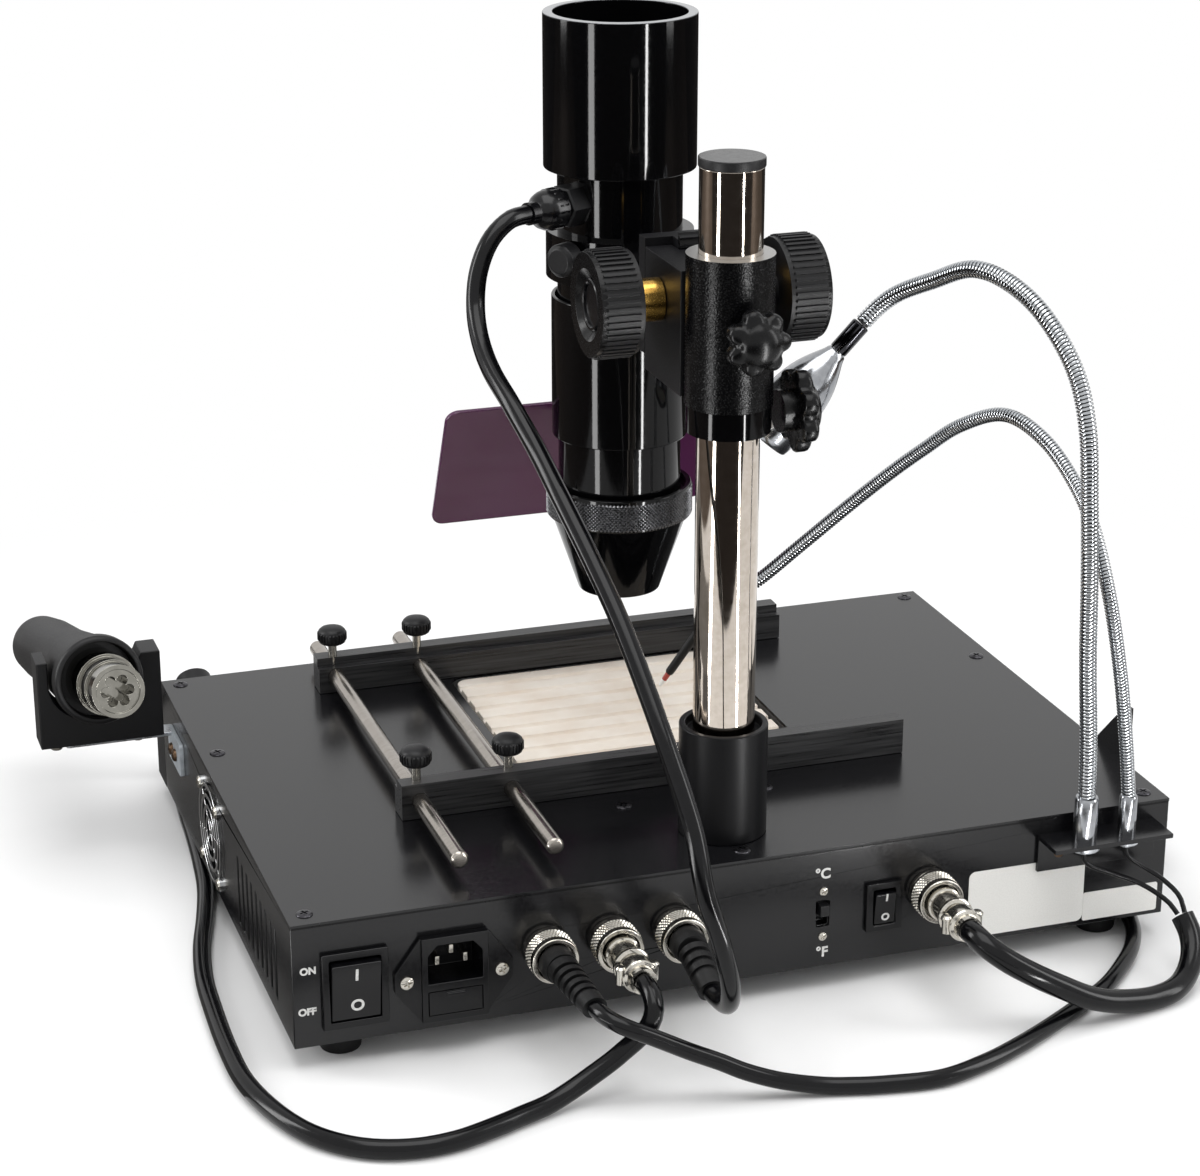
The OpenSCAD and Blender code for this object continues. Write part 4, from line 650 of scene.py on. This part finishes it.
dress("pillar", bright_nickel, bevel=0.3)
dress("pillar_cap", [moulded, gloss_plastic], lambda c, n: 1 if n.z > 0.9 else 0, bevel=0.5)
dress("pillar_socket", satin_anodised, bevel=0.6)
dress("stop_collar", gloss_anodised, bevel=0.6)
dress("carriage", [crinkle_paint, machined], lambda c, n: 1 if n.z > 0.9 and c.z > 310 else 0, bevel=0.5)


def star_knob(name, at, axis, reach, d, body):
    """A seven-lobed knob whose lobes flow into a dome, on its bare stud."""
    steps = 154
    lobes = []
    for k in range(steps):
        swing = ((7 * k / steps + 0.5) % 1 - 0.5) * 2 * pi / 7
        far = 0.14**2 - (0.36 * sin(swing)) ** 2
        lobes.append(max(0.4, 0.36 * cos(swing) + far**0.5 if far > 0 else 0.0))
    lobes = [(2 * lobes[k] + lobes[k - 1] + lobes[(k + 1) % steps]) / 4 for k in range(steps)]
    low = reach + 5.5
    # A row is its round and its lobed share of the diameter, and its height above the lobes' back.
    rows = [(0.25, 0, -5.5), (0.25, 0, 0), (0, 0.9, 0), (0, 0.97, 0.4), (0, 1, 1.2), (0, 1, 4.6), (0, 0.985, 5.7)]
    rows += [(0, 0.94, 6.5), (0.03, 0.8, 7.1), (0.11, 0.56, 7.5), (0.2, 0.3, 7.9), (0.27, 0.1, 8.4)]
    rows += [(0.31 * cos(t), 0, 7.6 + 4.2 * sin(t)) for t in (k * pi / 16 for k in range(2, 8))]
    rings = [([d * (plain + lobed * lobe) for lobe in lobes], low + height) for plain, lobed, height in rows]
    bm = bmesh.new()
    skinned(bm, ringed(bm, [(0, low - 5.5)] + rings + [(0, low + 11.8)], steps, turned(axis), at))
    place(name + "_star", finished(mesh_of(bm, name, knob_black), 50), body, [name])
    thread = [(0, 0)] + [(2.95 if k % 2 else 2.55, 0.5 * k) for k in range(int(2 * reach) - 7)] + [(0, reach - 4)]
    lathe(name + "_stud", thread, at, axis, nickel, body, steps=32)


star_knob("collar_knob", (-13.3, 103, 248.5), (-1, 0, 0), 8.2, 35, "collar_knob")
star_knob("carriage_knob", (0, 116.3, 287.3), (0, 1, 0), 8.7, 27, "carriage_knob")
dress("focus_block", matte_anodised, bevel=0.5, shape=lambda p: (p.x, p.y, p.z - 7 if p.z > 312 else p.z))
dress("focus_slide", matte_anodised, bevel=0.3, shape=lambda p: (p.x, p.y, p.z - 7 if p.z > 315 else p.z))
dress("focus_bushes", brass, bevel=0.5)
dress(
    "focus_spindle", [moulded, ground_steel, knob_black],
    lambda c, n: 1 if abs(c.x) < 28.2 else 2 if abs(c.x) > 46 else 0, bevel=0.3,
)
cap = [(0, 46.35), (10.6, 46.35), (10.9, 46.7), (10.9, 47.7), (10.4, 48.1), (9.4, 48.1), (8.9, 47.6), (8.9, 47)]
cap.append((0, 47))
for side, way in (("left", 1), ("right", -1)):
    lathe("focus_cap_" + side, cap, (0, 70, 290.5), (way, 0, 0), gloss_plastic, "focus")

# Lamp


def thick_rim(p):
    """Thickens the top shell's wall inwards."""
    out = Vector((p.x, p.y - LAMP_Y, 0))
    return p - 1.8 * out.normalized() if p.z > 325 and 30.5 < out.length < 31.5 else p


dress(
    "lamp_tubes", [gloss_anodised, satin_chrome], lambda c, n: 1 if n.z > 0.9 and c.z > 389 else 0, bevel=0.5,
    shape=thick_rim,
)
dress("lamp_holder", gloss_anodised, bevel=0.5)
dress("lamp_cone", gloss_anodised, shape=lambda p: (p.x, p.y, p.z + 2 + 1.5 * min(1, (p.z - 126.7) / 34)))
dress("knurled_ring", gloss_anodised, bevel=0.5, shape=lambda p: (p.x, p.y, p.z + 3.5))
dress("lamp_emitter", emitter_red, bevel=0.5)
GLAND_AT = (0, LAMP_Y, 310)
GLAND_AXIS = (cos(radians(25)), sin(radians(25)), 0)
hexagon = [(0, 25.9), (9.5, 25.9), (9.5, 34.6), (8.7, 35.4), (0, 35.4)]
lathe("gland_hexagon", hexagon, GLAND_AT, GLAND_AXIS, moulded, "lamp", ["lamp_gland"], steps=6)
nut = [(0, 35.2), (7.2, 35.2), (7.2, 36.6), (8.4, 36.8), (8.8, 37.4), (8.8, 43.2), (8.5, 45.2), (7.6, 47.4), (6.3, 49)]
nut += [(5.2, 49.8), (4.9, 50.2), (4.9, 54.4), (0, 54.4)]
lathe("gland_nut", nut, GLAND_AT, GLAND_AXIS, gloss_plastic, "lamp")
ribs = round_spots(GLAND_AT, GLAND_AXIS, 8.7, 18, rows=[40.3])
repeated("gland_ribs", box_mesh((5.4, 0.9, 0.45), 0.7), ribs, gloss_plastic, "lamp")
dress("ring_screw", moulded, bevel=0.5)


def split_node(node, parts, bevel=0.4, shape=None):
    """Stands for a node by its loose solids. A part is a name, a finish and a test of a solid's middle and size."""
    bm = node_bm(node, shape)
    bm.verts.index_update()
    left, groups = set(bm.verts), []
    while left:
        island = [left.pop()]
        for v in island:
            near = {e.other_vert(v) for e in v.link_edges} & left
            left -= near
            island += near
        groups.append(island)
    for i, (name, finish, test) in enumerate(parts):
        kept = set()
        for island in groups:
            low = Vector([min(v.co[k] for v in island) for k in range(3)]) / MM
            high = Vector([max(v.co[k] for v in island) for k in range(3)]) / MM
            if test((low + high) / 2, high - low):
                kept.update(v.index for v in island)
        part = bm.copy()
        bmesh.ops.delete(part, geom=[v for v in part.verts if v.index not in kept], context="VERTS")
        mesh = bevelled(mesh_of(part, name, finish), bevel)
        place(name, mesh, BODY_OF[node], [node] if i == 0 else ())
    bm.free()


split_node("front_panel", [
    ("front_hood", moulded, lambda c, s: s.x > 100), ("display_windows", display_red, lambda c, s: s.x < 60),
], bevel=0.25)
split_node("visor", [
    ("visor_plate", visor_tint, lambda c, s: s.x > 60), ("visor_clip", matte_anodised, lambda c, s: s.x < 60),
])
knurl_rows = [1.3 + 0.86 * k for k in range(14)]
diamonds = round_spots((0, LAMP_Y, 164.2), (0, 0, 1), 32.35, 120, rows=knurl_rows, lean=pi / 4, offset=0.5)
repeated("ring_knurl", box_mesh((1.5, 1.5, 0.7), 0.25), diamonds, worn_knurl, "lamp")

# Board holder

dress("rods", ground_steel, bevel=0.25)
dress("front_rail", brushed_anodised)
dress("rear_rail", brushed_anodised)
# A thumb screw's foot is a gap above its rod, and its head is lifted clear of the rail.
RAIL_H, ROD_D, THUMB_LIFT = 16, 7.6, 7
foot, seat = RAIL_Z + RAIL_H / 2 + ROD_D / 2 + GAP, RAIL_Z + RAIL_H + THUMB_LIFT
stud = [(0, foot), (1.7, foot), (2, foot + 0.3), (2, seat - 1.2), (3.2, seat - 1.2), (3.2, seat)]
head = [(5.6, 0), (6.2, 0.5), (6.45, 1.2), (6.45, 5.6), (6.2, 6.2), (5.2, 7.1), (3.6, 7.7), (1.8, 7.95), (0, 8)]
thumb = stud + [(r, seat + z) for r, z in head]
for number, (x, y) in enumerate(((119, -102), (78, -102), (119, 48), (78, 48)), 1):
    name, body = "thumb_screw_%d" % number, "thumb_%d" % number
    lathe(
        name + "_turned", thumb, (x, y, 0), (0, 0, 1), [nickel, moulded], body, [name],
        pick=lambda i: 0 if i < 5 else 1,
    )
    ribs = round_spots((x, y, seat + 3.4), (0, 0, 1), 6.35, 26)
    repeated(name + "_ribs", box_mesh((4.4, 0.8, 0.6), 0.7), ribs, moulded, body)

# Rear panel

for node in ("switch_housings", "power_rocker", "lights_rocker"):
    dress(node, gloss_plastic, bevel=0.5)
dress("unit_slider", moulded, bevel=0.3)
split_node("mains_inlet", [
    ("inlet_body", gloss_plastic, lambda c, s: s.x > 10), ("inlet_pins", nickel, lambda c, s: s.x < 10),
], bevel=0.35)
dress("fuse_drawer", gloss_plastic, bevel=0.35)
dress("connectors", nickel, bevel=0.5)


def boot_lean(p):
    """Lifts the soldering plug's boot towards its cord."""
    share = min(1, max(0, (p.y - 155) / 36)) if 75 < p.x < 105 else 0
    return (p.x - 3 * share, p.y, p.z + 6.9 * share)


split_node("cord_plugs", [("cord_boots", rubber, lambda c, s: 80 < c.x < 94 or 28 < c.x < 38)], shape=boot_lean)
shell = [(0, 150.2), (7.4, 150.2), (7.4, 152.4), (6.7, 152.8), (6.3, 160.5), (6.6, 161), (7.6, 161.4), (7.8, 162)]
shell += [(7.8, 163.4), (7.2, 164), (5.8, 164.4), (5.8, 165.6), (7.0, 166), (7.2, 166.5), (7.2, 172.6), (6.8, 173.2)]
shell += [(5.6, 173.6), (5.6, 177.4), (0, 177.4)]
boss = [(0, -3.6), (2.2, -3.6), (2.2, 2.6), (2.6, 2.6), (2.6, 3.4), (1.8, 4.2), (0, 4.3)]
for name, x in (("hot_air_clamp", HOT_AIR_X), ("lights_clamp", LIGHTS_X)):
    lathe(name, shell, (x, 0, PLUG_Z), (0, 1, 0), nickel, "base")
    for side, way in (("left", 1), ("right", -1)):
        at = (x + way * 6.8, 169.4, PLUG_Z)
        lathe(name + "_screw_" + side, boss, at, (0, 0, 1), nickel, "base", steps=24)
for x in (SOLDER_X, HOT_AIR_X, LAMP_X, LIGHTS_X):
    knurl_rows = [2.2, 3.5, 4.8, 6.1, 7.4]
    bars = round_spots((x, REAR + 3, PLUG_Z), (0, 1, 0), 9.95, 44, rows=knurl_rows, lean=pi / 4, offset=0.5)
    name = "coupling_knurl_%d" % (x if x > 0 else 4)
    repeated(name, box_mesh((1.3, 0.9, 0.45), 0.3), bars, nickel, "base")

PANEL = ((-1, 0, 0), (0, 0, 1), (0, 1, 0))
plate("plate_wide", rounded(55, 31, 3), 0.25, (-128.3, REAR, 29), PANEL, plate_white)
plate("plate_small", rounded(36, 13.4, 1), 0.25, (-173.9, REAR, 19.8), PANEL, plate_white)


def lettering(name, words, at, height, body):
    """Printed letters that stand a hair above the panel, facing the rear."""
    letters = bpy.data.curves.new(name, "FONT")
    letters.body = words
    letters.size = height * 1.4 * MM
    letters.align_x = letters.align_y = "CENTER"
    letters.extrude = 0.05 * MM
    letters.offset = 0.2 * MM
    mesh = applied(linked(name, letters))
    mesh.transform(Matrix.Translation(Vector(at) * MM) @ Matrix(PANEL).transposed().to_4x4())
    mesh.materials.clear()
    mesh.materials.append(print_white)
    return place(name, mesh, body)


def switch_mark(name, words, node, x, z, height):
    """A mark on a rocker's sloped face, found by looking at it from the rear."""
    bm = node_bm(node)
    hit, normal, _, _ = BVHTree.FromBMesh(bm).ray_cast(Vector((x, 200, z)) * MM, Vector((0, -1, 0)))
    bm.free()
    made = lettering(name, words, (0, 0, 0), height, BODY_OF[node])
    lean = Vector((0, 1, 0)).rotation_difference(normal).to_matrix().to_4x4()
    made.data.transform(Matrix.Translation(hit + normal * 0.06 * MM) @ lean)


switch_mark("power_mark_in", "I", "power_rocker", 169.4, 42.4, 5.4)
switch_mark("power_mark_out", "O", "power_rocker", 169.0, 28.0, 5.0)
switch_mark("lights_mark_in", "I", "lights_rocker", -61, 40.7, 3.4)
switch_mark("lights_mark_out", "O", "lights_rocker", -61, 31.2, 3.2)
for name, words, x, z, height in (
    ("mark_on", "ON", 188.4, 45.1, 3.0), ("mark_off", "OFF", 189.2, 27, 3.0),
    ("mark_c", "°C", -33, 54.2, 4.6), ("mark_f", "°F", -33.4, 17.6, 4.6),
):
    lettering(name, words, (x, REAR + 0.06, z), height, "base")

arrow = [(-1.1, 0.9), (0, -1.1), (1.1, 0.9)]
plate("fuse_arrow", arrow, 0.06, (136.3, REAR, 16.4), PANEL, print_white)
SIDE = ((0, 1, 0), (0, 0, 1), (1, 0, 0))
plate("cover_seam_rear", rounded(389, 0.8, 0.3), 0.05, (0, REAR, 64.5), PANEL, knob_black)
plate("cover_seam_side", rounded(271, 0.8, 0.3), 0.05, (WALL, 0, 64.5), SIDE, knob_black)

# Cooling

dress("fan_frame", moulded, bevel=0.3)
dress("fan_rotor", moulded, bevel=0.2)
dress("fan_guard", chrome, bevel=0, shape=lambda p: (WALL + 0.3 * (p.x - WALL), p.y, p.z))
fan_spots = [((WALL + 1.3, -22.5 + y * 17.5, 37 + z * 17.5), TO_SIDE) for y in (-1, 1) for z in (-1, 1)]
repeated("fan_screws", pan_head(2.8, 1.3), fan_spots, nickel, "base")

# Handsets

split_node(
    "gun_holder", [("holder_block", moulded, lambda c, s: s.z > 30)], bevel=0.6,
    shape=lambda p: (p.x - 5 if p.z > 96 and 212 < p.x < 217 else p.x, p.y, p.z - 4.5 if p.z > 96 else p.z),
)
FLAT = ((1, 0, 0), (0, 1, 0), (0, 0, 1))
plate("holder_tab", rounded(51, 10, 1.5), 1.9, (220.5, -107, 52), FLAT, zinc, 0.2)
plate("holder_leaf", rounded(28, 16, 2), 2, (WALL, -98, 46), SIDE, zinc_leaf, 0.2)
leaf_spots = [((WALL + 2, y, 45), TO_SIDE) for y in (-103, -95)]
repeated("leaf_screws", pan_head(3.0, 1.8), leaf_spots, bronzed, "base")
block_spots = [((x, -107, 52), turned((0, 0, -1))) for x in (212, 250)]
repeated("block_screws", pan_head(3.0, 1.8), block_spots, nickel, "base")
GUN_AT = Vector((232.5, -91.8, 90.1))
GUN_AXIS = Vector((-0.0853, 0.9744, 0.2079)).normalized()


def long_grip(p):
    """Draws the handle out behind its holder to a slimmer end."""
    t = (p - GUN_AT).dot(GUN_AXIS)
    out = p - GUN_AT - t * GUN_AXIS
    slim = 1 - 0.14 * min(1, max(0, (-30 - t) / 32))
    drawn = t if t > -30 else -30 + (t + 30) * 2.5 if t > -62 else -110 + (t + 62) * 0.45
    return GUN_AT + drawn * GUN_AXIS + slim * out


def slim_nozzle(p):
    """Draws the nozzle in round its axis."""
    t = (p - GUN_AT).dot(GUN_AXIS)
    return GUN_AT + t * GUN_AXIS + 0.88 * (p - GUN_AT - t * GUN_AXIS)


dress("gun_handle", moulded, bevel=0.8, shape=long_grip)
dress("gun_nozzle", dull_steel, shape=slim_nozzle)
dress("iron_holder", powder_coat)
split_node("soldering_iron", [("iron_grip", moulded, lambda c, s: s.x > 12)], bevel=0.3)
barrel = [(0, 24.1), (4.5, 24.1), (4.5, 44), (3, 46), (3, 54), (0.4, 62), (0, 62)]
lathe("iron_barrel", barrel, (-217, 30, 25), (0, 1, 0), chrome, "iron", steps=32)
dress("air_knob", moulded, bevel=0.8)

# Goosenecks

dress("gooseneck_bracket", powder_coat, shape=lambda p: (p.x + 3.2 if p.x < -185 else p.x, p.y, p.z))
repeated("bracket_screw", pan_head(2.6, 1.4), [((-142, REAR + 1.4, 49), TO_REAR)], bronzed, "base")
LIGHT_NECK = [
    (-150, 145, 76), (-149, 145, 104), (-147, 144, 140), (-146, 143, 176), (-146, 139, 208), (-146, 134, 237),
    (-143.5, 125, 260), (-136, 110, 280), (-128, 92, 290.5), (-119, 75, 293), (-110.5, 54, 283.5),
    (-102.4, 40, 275.7), (-96.3, 33, 268.6), (-88.8, 31, 260.7),
]
PROBE_NECK = [
    (-170, 145, 74), (-167, 145, 100), (-163, 144, 130), (-158, 140, 163), (-154, 130, 191), (-150.4, 118, 208),
    (-144, 100, 223), (-136, 78, 228.5), (-125, 58, 219), (-115.7, 42, 204.6), (-106, 28, 190), (-93, 14, 172),
    (-75, 2, 151), (-58, -6, 133.5), (-45, -8.6, 126), (-38, -10.2, 119.8), (-35, -11.8, 114.5),
]


def neck_ring(radius, width):
    """One turn of the wound strip: a nearly flat band with a dip on each side."""
    bm = bmesh.new()
    section = ((0.9, -0.5), (0.12, -0.42), (0, 0), (0.12, 0.42), (0.9, 0.5))
    rings = ringed(bm, [(radius - dip, share * width) for dip, share in section], 24)
    skinned(bm, rings + rings[:1])
    return mesh_of(bm, "turn")


def gooseneck(name, route, d, foot_d, pitch, node):
    """A neck of wound strip over a dark core, which is painted shade between the turns, with its ferrule and nut on
    the bracket.
    """
    path = flow(route, pitch)
    turns = frames(path)
    spots = []
    for p, (along, u, v) in zip(path, turns):
        tilt = Matrix.Rotation(radians(7), 3, u)
        spots.append((p, tilt @ Matrix((u, v, along)).transposed()))
    repeated(name + "_turns", neck_ring(d / 2, 0.8 * pitch), spots[1:-1], neck_chrome, "base", [node])
    # The core's dark colour is painted shade between the turns.
    place(name + "_core", tube_mesh(name + "_core", path, turns, d / 2 - 0.8, neck_shade_core, 12), "base")
    at, up = (route[0][0], NECK_Y, 0), (0, 0, 1)
    top, bore, r = route[0][2] + 1, d / 2 - 0.95, foot_d / 2
    ferrule = [(0, 51), (d / 2 - 1, 51), (d / 2 - 1, 58), (r, 58), (r, top - 1), (r - 0.5, top), (0, top)]
    lathe(name + "_ferrule", ferrule, at, up, satin_chrome, "base")
    nut = [(bore, 52.8), (r + 1.2, 52.8), (r + 1.5, 53.2), (r + 1.5, 55.6), (r + 1.2, 56), (bore, 56), (bore, 52.8)]
    lathe(name + "_nut", nut, at, up, zinc, "base", steps=48)


gooseneck("light_neck", LIGHT_NECK, 7.6, 10.4, 1.6, "light_gooseneck")
gooseneck("probe_neck", PROBE_NECK, 6.2, 7.8, 1.45, "probe_gooseneck")

LIGHT_MOUTH = Vector((-47.1, 22, 211.2))
light_axis = (LIGHT_MOUTH - Vector(LIGHT_NECK[-1])).normalized()
light_start = Vector(LIGHT_NECK[-1]) + 0.5 * light_axis
light_l = (LIGHT_MOUTH - light_start).length
head = [(0, 0), (3.7, 0), (4.1, 0.4), (4.1, 14.6), (3.9, 15), (3.9, 15.6), (4.4, 16), (5.2, 18.2), (6.4, 20.6)]
head += [(7.7, 23.2), (9.1, 26.2), (10.4, 29.4), (11.5, 33), (12.3, 36.6), (12.9, 40.4), (13.2, 44.5)]
head += [(13.2, light_l - 8), (13.05, light_l - 3), (12.7, light_l - 0.5), (12.3, light_l), (11, light_l)]
head += [(11, light_l - 4), (0, light_l - 4)]
lathe(
    "light_head_turned", head, light_start, light_axis, [satin_chrome, black_chrome], "base", ["light_head"],
    pick=lambda i: 1 if i < 4 else 0, sharp=40,
)
lens = [(0, light_l - 3.8), (10.8, light_l - 3.8), (10.8, light_l - 2.2), (6, light_l - 1.4), (0, light_l - 1.0)]
lathe("light_lens", lens, light_start, light_axis, lens_frost, "base")
PROBE_TIP = Vector((-16.1, -22, 80.5))
probe_axis = (PROBE_TIP - Vector(PROBE_NECK[-1])).normalized()
probe_start = Vector(PROBE_NECK[-1]) + 0.5 * probe_axis
probe_l = (PROBE_TIP - probe_start).length
sleeve = [(0, 0), (1.8, 0), (2, 0.3), (2, probe_l - 9), (1.7, probe_l - 8), (0, probe_l - 8)]
lathe("probe_tube", sleeve, probe_start, probe_axis, rubber, "base", ["probe_sleeve"], 24)
point = [(0, probe_l - 7.9), (1.3, probe_l - 7.9), (1.2, probe_l - 4), (0.75, probe_l - 0.4), (0, probe_l)]
lathe(
    "probe_point", point, probe_start, probe_axis, [probe_red, plate_white], "base", steps=16,
    pick=lambda i: i // 2 % 2,
)

# Floor and light

ACROSS = Vector((VIEW_RIGHT.x, VIEW_RIGHT.y, 0)).normalized()
TOWARDS = Vector((VIEW_BACK.x, VIEW_BACK.y, 0)).normalized()


def staged(name, corners, paint):
    """A flat sheet of the studio. Corners are metres across the view, towards the viewer and up."""
    mesh = bpy.data.meshes.new(name)
    mesh.from_pydata([u * ACROSS + v * TOWARDS + Vector((0, 0, z)) for u, v, z in corners], [], [(0, 1, 2, 3)])
    mesh.materials.append(paint)
    made = linked(name, mesh)
    return made


def shown(tree):
    """1 for what the viewer sees straight, in a mirror or through glass, else 0."""
    ray = add(tree, "ShaderNodeLightPath").outputs
    most = {"operation": "MAXIMUM"}
    seen = add(tree, "ShaderNodeMath", most, i0=ray["Is Camera Ray"], i1=ray["Is Glossy Ray"]).outputs[0]
    return add(tree, "ShaderNodeMath", most, i0=seen, i1=ray["Is Transmission Ray"]).outputs[0]


# White paper: it takes the shadows near the object and shows plain white further away.
paper = grain(material("matte_white_paper", "#f2f2f2", 0.8, gloss=0.1), 40, colours=("#f1f1f1", "#f3f3f3"))
web = paper.node_tree
where = add(web, "ShaderNodeTexCoord").outputs["Object"]
reach = add(web, "ShaderNodeVectorMath", {"operation": "LENGTH"}, i0=where).outputs["Value"]
smooth = {"interpolation_type": "SMOOTHSTEP"}
fade = add(web, "ShaderNodeMapRange", smooth, Value=reach, From_Min=0.24, From_Max=0.6).outputs["Result"]
share = add(web, "ShaderNodeMath", {"operation": "MULTIPLY"}, i0=fade, i1=shown(web)).outputs[0]
plain = add(web, "ShaderNodeEmission", Color=(1, 1, 1, 1), Strength=1.0).outputs[0]
both = add(web, "ShaderNodeMixShader", i0=share, i1=web.nodes["Principled BSDF"].outputs[0], i2=plain).outputs[0]
web.links.new(both, web.nodes["Material Output"].inputs["Surface"])
staged("floor", [(-12, -12, 0), (12, -12, 0), (12, 12, 0), (-12, 12, 0)], paper)

# Dark and brown cards on the floor, a grey card of painted shadow beside the case's +X wall, and two strips of light,
# which only reflections see.
dark_card = grain(material("dark_felt_card", "#17120f", 0.9, gloss=0.1), 8, colours=("#130f0c", "#1b1512"))
brown_card = grain(material("brown_board_card", "#4b433c", 0.9, gloss=0.1), 8, colours=("#443c36", "#524942"))
# The grey card is painted shadow: it stands for the floor's shade beside the case, seen only in the wall's reflection.
floor_shadow_card = grain(material("painted_floor_shadow", "#6a6866", 0.9, gloss=0.1), 8, colours=("#63615f", "#71706e"))
CARDS = [
    (name, [(left, back, z), (right, back, z), (right, front, z), (left, front, z)], paint)
    for name, left, right, back, front, z, paint in (
        ("front_card", -3, 3, 0.52, 3.5, 0.003, dark_card),
        ("right_card", 0.8, 3, -0.8, 0.52, 0.003, brown_card),
        ("left_card", -3, -0.55, -0.8, 0.52, 0.003, brown_card),
        ("back_card", -3, 3, -3.5, -0.5, 0.002, dark_card),
    )
]
# Painted shadow on the floor beside the +X wall, for reflections only.
shadow_corners = [Vector((x, y, 0.001)) for x, y in ((0.198, 0.15), (0.198, -0.5), (0.5, -0.5), (0.5, 0.15))]
CARDS.append(("side_card", [(p.dot(ACROSS), p.dot(TOWARDS), p.z) for p in shadow_corners], floor_shadow_card))
for side, turn, half, level in (("left", -44, 4.5, 14.0), ("right", 39, 1.8, 50.0)):
    glow = material("strip_light_" + side, "#ffffff", 0.5, Emission_Color=(1, 1, 1, 1), Emission_Strength=level)
    rays = [(r, radians(turn + t)) for r, t in ((0.32, -half), (0.32, half), (3.4, half), (3.4, -half))]
    CARDS.append(("strip_" + side, [(r * sin(t), r * cos(t), 0.005) for r, t in rays], glow))
for name, corners, paint in CARDS:
    made = staged(name, corners, paint)
    made.visible_camera = made.visible_diffuse = made.visible_transmission = made.visible_shadow = False

AIM = Vector((0, 0, 0.15))


def softbox(name, at, size, power):
    lamp = bpy.data.lights.new(name, "AREA")
    lamp.shape = "RECTANGLE"
    lamp.size, lamp.size_y = size
    lamp.energy = power
    made = linked(name, lamp)
    made.location = at
    made.rotation_mode = "QUATERNION"
    made.rotation_quaternion = (AIM - Vector(at)).to_track_quat("-Z", "Y")


softbox("side_box_left", AIM - 1.5 * VIEW_RIGHT + Vector((0.1, -0.1, 0.55)), (0.4, 1.3), 14)
softbox("side_box_right", AIM + 1.5 * VIEW_RIGHT + Vector((0.1, 0.3, 0.55)), (0.4, 1.3), 10)
softbox("top_box", (0.1, 0.3, 1.7), (1.4, 1.4), 18)

world = bpy.data.worlds.new("studio")
scene.world = world
world.use_nodes = True
sky = world.node_tree
level = add(sky, "ShaderNodeMapRange", Value=shown(sky), To_Min=0.62, To_Max=1.0).outputs["Result"]
sky.nodes["Background"].inputs["Color"].default_value = (1, 1, 1, 1)
sky.links.new(level, sky.nodes["Background"].inputs["Strength"])
scene.view_settings.view_transform = "Standard"
